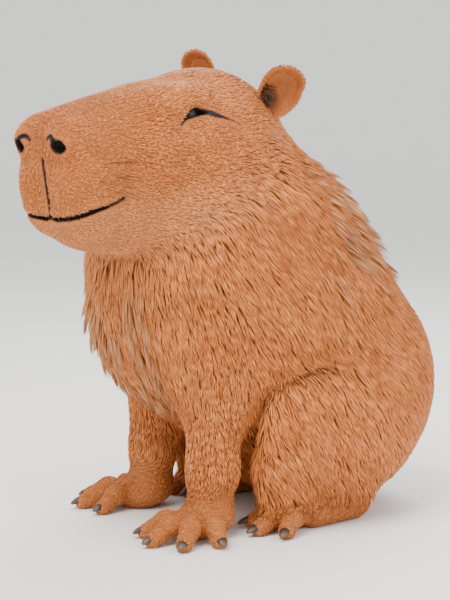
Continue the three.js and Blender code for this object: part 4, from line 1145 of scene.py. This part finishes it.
def eye_ball(sign, around=64, up=48):
    """A ball about the eye's own X axis, its radius growing by a low dome within 0.75 radians of the front.
    Gives points, faces and how far each point is off the axis."""
    tilt = np.linspace(0, np.pi, up + 1)[1:-1, None]
    angle = round_angles(around)
    radius = EYE_RADIUS + CORNEA_HIGH * ramp(0.75, 0.0, tilt)
    e = np.stack([radius * np.cos(tilt) + 0 * angle,
                  radius * np.sin(tilt) * np.cos(angle), radius * np.sin(tilt) * np.sin(angle)])
    poles = [column((EYE_RADIUS + CORNEA_HIGH, 0, 0)), column((-EYE_RADIUS, 0, 0))]
    e = np.concatenate([e.reshape(3, -1), *poles], 1)
    h = EYE_TURN @ e.astype(np.float32) / HEAD_SCALE + column(EYE_AT)
    h[0] *= sign
    return out_of_head(h).T, closed_shell(up - 1, around, sign > 0), length(e[1:])


# Cornea over a dark iris: smooth and wet, so it gives one small soft glint on nearly black.
# The iris's threads are drawn coarser than real, and still only tint it.
IRIS_THREAD = 1.2
wet_eye, tree = new_material("wet_dark_eye")
place = add(tree, "TexCoord").outputs["Object"]
threads = add(tree, "TexNoise", {"Vector": place, "Scale": per_size(IRIS_THREAD)}).outputs["Fac"]
tone = add(tree, "Mix", {0: threads, 6: paint("#1c0f08"), 7: paint("#2b170c")}, data_type="RGBA").outputs[2]
off_axis = add(tree, "Attribute", attribute_name="off_axis").outputs["Fac"]
iris = add(tree, "MapRange", {0: off_axis, 1: PUPIL_EDGE[0], 2: PUPIL_EDGE[1]}).outputs[0]
tone = add(tree, "Mix", {0: iris, 6: paint("#050404"), 7: tone}, data_type="RGBA").outputs[2]
white = add(tree, "MapRange", {0: off_axis, 1: IRIS_EDGE[0], 2: IRIS_EDGE[1]}).outputs[0]
tone = add(tree, "Mix", {0: white, 6: tone, 7: paint("#1a100b")}, data_type="RGBA").outputs[2]
finish_material(tree, {"Base Color": tone, "Roughness": 0.1, "IOR": 1.376, "Specular IOR Level": 0.35})
for side, sign in SIDES.items():
    points, faces, off = eye_ball(sign)
    eye = make_piece(f"eyeball_{side}", points, faces, dict(off_axis=off))
    eye.data.materials.append(wet_eye)
    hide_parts(f"eye_{side}")


# Claws: thick blunt nails, half way to hooves, of dark horn worn pale at the tip.
# Each is carried along its toe's heading, curving down and closing to a rounded tip.
CLAW_RADIUS = 8
CLAW_HIGH = 13
CLAW_DROP = 5.5
CLAW_FLAT = 0.75
FORE_CLAW_LONG = 19
HIND_CLAW_LONG = 23


def claw_shape(start, heading, long, around=24, rings=22):
    """One claw: oval rings, shallower below, about a line that drops as the square of the way along. Their
    size falls as the root of one less most of that square, and closes round the very tip."""
    t = np.linspace(0, 1, rings)[:, None]
    angle = round_angles(around)
    size = CLAW_RADIUS * np.sqrt(1 - 0.88 * t ** 2) * np.minimum(1, np.sqrt(np.maximum(1.0001 - t ** 14, 0)))
    across = size * np.cos(angle)
    up = size * CLAW_FLAT * np.where(np.sin(angle) > 0, np.sin(angle), 0.8 * np.sin(angle))
    way = long * t + 2 * t ** 3
    x = start[0] + heading[0] * way - heading[1] * across
    y = start[1] + heading[1] * way + heading[0] * across
    z = CLAW_HIGH - CLAW_DROP * t ** 2 + up
    points = np.stack([x, y, z], -1).reshape(-1, 3)
    ends = [[*(start - heading), CLAW_HIGH], [*(start + heading * (long + 2)), CLAW_HIGH - CLAW_DROP]]
    along = np.concatenate([np.repeat(t[:, 0], around), [0, 1]])
    return np.concatenate([points, ends]), closed_shell(rings, around, False), along


# Horn: dark and dull with a low gloss, rubbed pale towards the tip.
# Its fibres are drawn as bundles, because a single one is too fine to show.
HORN_FIBRE = 2.5
horn, tree = new_material("worn_claw_horn")
place = add(tree, "TexCoord").outputs["Object"]
fibres = add(tree, "TexNoise", {"Vector": place, "Scale": per_size(HORN_FIBRE), "Detail": 5}).outputs["Fac"]
tone = add(tree, "Mix", {0: fibres, 6: paint("#1d1612"), 7: paint("#3a2c22")}, data_type="RGBA").outputs[2]
along = add(tree, "Attribute", attribute_name="along").outputs["Fac"]
worn = add(tree, "MapRange", {0: along, 1: 0.55, 2: 1.0, 3: 0.0, 4: 0.8}).outputs[0]
tone = add(tree, "Mix", {0: worn, 6: tone, 7: paint("#6b5645")}, data_type="RGBA").outputs[2]
finish_material(tree, {"Base Color": tone, "Roughness": 0.38}, (fibres, 0.4, 0.4))
for foot, toes, long in (("forefoot", FORE_TOES, FORE_CLAW_LONG), ("hindfoot", HIND_TOES, HIND_CLAW_LONG)):
    for side, sign in SIDES.items():
        shapes = []
        for degrees, reach in toes["fan"]:
            _, end, heading = toe_line(toes, degrees, reach - 2)
            points, faces, along = claw_shape(end, heading, long)
            points = points * (sign, 1, 1)
            shapes.append((points, faces if sign > 0 else faces[:, ::-1], along))
        points, faces, along = joined(shapes)
        claws = make_piece(f"{foot}_claws_{side}", points, faces, dict(along=along))
        claws.data.materials.append(horn)
        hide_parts(*[f"{foot}_claw_{side}_{n + 1}" for n in range(len(toes["fan"]))])


# Studio: a plain pale floor that curves up all round, one broad soft light high in front, and fill.
# The camera stands where the picture is seen from, a little above the animal's middle.
CAMERA_AZIMUTH = 62
CAMERA_ELEVATION = 7
CAMERA_FAR = 2300
LOOKS_AT = (0, -50, 312)
LENS = 64.06
SENSOR_HIGH = 24
LAMPS_FAR = 2600
LAMPS_AIM = (0, -30, 330)
ROOM_LIGHT = 1.3


def stand(thing, azimuth, elevation, far, looks_at):
    """Puts a lamp or camera on a bearing: azimuth 0 is in front of the chest, 90 is on the animal's left."""
    a, e = np.radians([azimuth, elevation])
    back = np.array([np.sin(a) * np.cos(e), -np.cos(a) * np.cos(e), np.sin(e)])
    right = np.array([np.cos(a), np.sin(a), 0])
    at = (np.array(looks_at) + back * far + SHIFT) / 1000
    axes = np.eye(4)
    axes[:3, :4] = np.stack([right, np.cross(back, right), back, at], 1)
    thing.matrix_world = Matrix(axes)


def lamp(name, azimuth, elevation, size, watts, colour):
    """A square soft light on a bearing round the animal, aimed at its middle."""
    data = bpy.data.lights.new(name, "AREA")
    data.shape = "SQUARE"
    data.size = size
    data.energy = watts
    data.color = paint(colour)[:3]
    stand(place_object(name, data), azimuth, elevation, LAMPS_FAR, LAMPS_AIM)


camera = place_object("camera", bpy.data.cameras.new("camera"))
camera.data.sensor_fit = "VERTICAL"
camera.data.sensor_height = SENSOR_HIGH
camera.data.lens = LENS
camera.data.clip_end = 100
stand(camera, CAMERA_AZIMUTH, CAMERA_ELEVATION, CAMERA_FAR, LOOKS_AT)
bpy.context.scene.camera = camera

lamp("key_light", azimuth=28, elevation=58, size=1.5, watts=90, colour="#fff6ea")
lamp("fill_light", azimuth=120, elevation=24, size=2.2, watts=35, colour="#f3f5ff")
lamp("rim_light", azimuth=215, elevation=50, size=1.4, watts=50, colour="#ffffff")

# Matt paper: nearly white and without gloss. Its fibres are too fine to show and are drawn as wide flecks.
PAPER_FLECK = 3
paper, tree = new_material("pale_matte_paper")
place = add(tree, "TexCoord").outputs["Object"]
flecks = add(tree, "TexNoise", {"Vector": place, "Scale": per_size(PAPER_FLECK), "Detail": 6}).outputs["Fac"]
pale = add(tree, "Mix", {0: flecks, 6: paint("#f3f2f0"), 7: paint("#f9f8f6")}, data_type="RGBA").outputs[2]
finish_material(tree, {"Base Color": pale, "Roughness": 0.9})

# Rings of the floor by radius and height, in metres: flat, then a wide curve up into a wall.
FLOOR_RADII = (4, 5, 5.6, 6.2, 6.7, 7.1, 7.4, 7.6, 7.7, 7.7)
FLOOR_HEIGHTS = (0, 0, 0.05, 0.2, 0.46, 0.8, 1.2, 1.7, 2.3, 4.0)
radius, high = [np.array(sizes)[:, None] for sizes in (FLOOR_RADII, FLOOR_HEIGHTS)]
angle = round_angles(96)
rings = np.stack([radius * np.cos(angle), radius * np.sin(angle), high + 0 * angle], -1)
index = np.arange(rings[..., 0].size).reshape(rings.shape[:2])
after = np.roll(index, -1, 1)
quads = np.stack([index[:-1], index[1:], after[1:], after[:-1]], -1)
mesh = bpy.data.meshes.new("floor")
mesh.from_pydata(rings.reshape(-1, 3).tolist(), [], [index[0].tolist(), *quads.reshape(-1, 4).tolist()])
mesh.shade_smooth()
mesh.materials.append(paper)
floor = place_object("floor", mesh)

world = bpy.data.worlds.new("soft_room")
bpy.context.scene.world = world
world.use_nodes = True
glow = world.node_tree.nodes["Background"].inputs
glow["Color"].default_value = paint("#f2f3f5")
glow["Strength"].default_value = ROOM_LIGHT
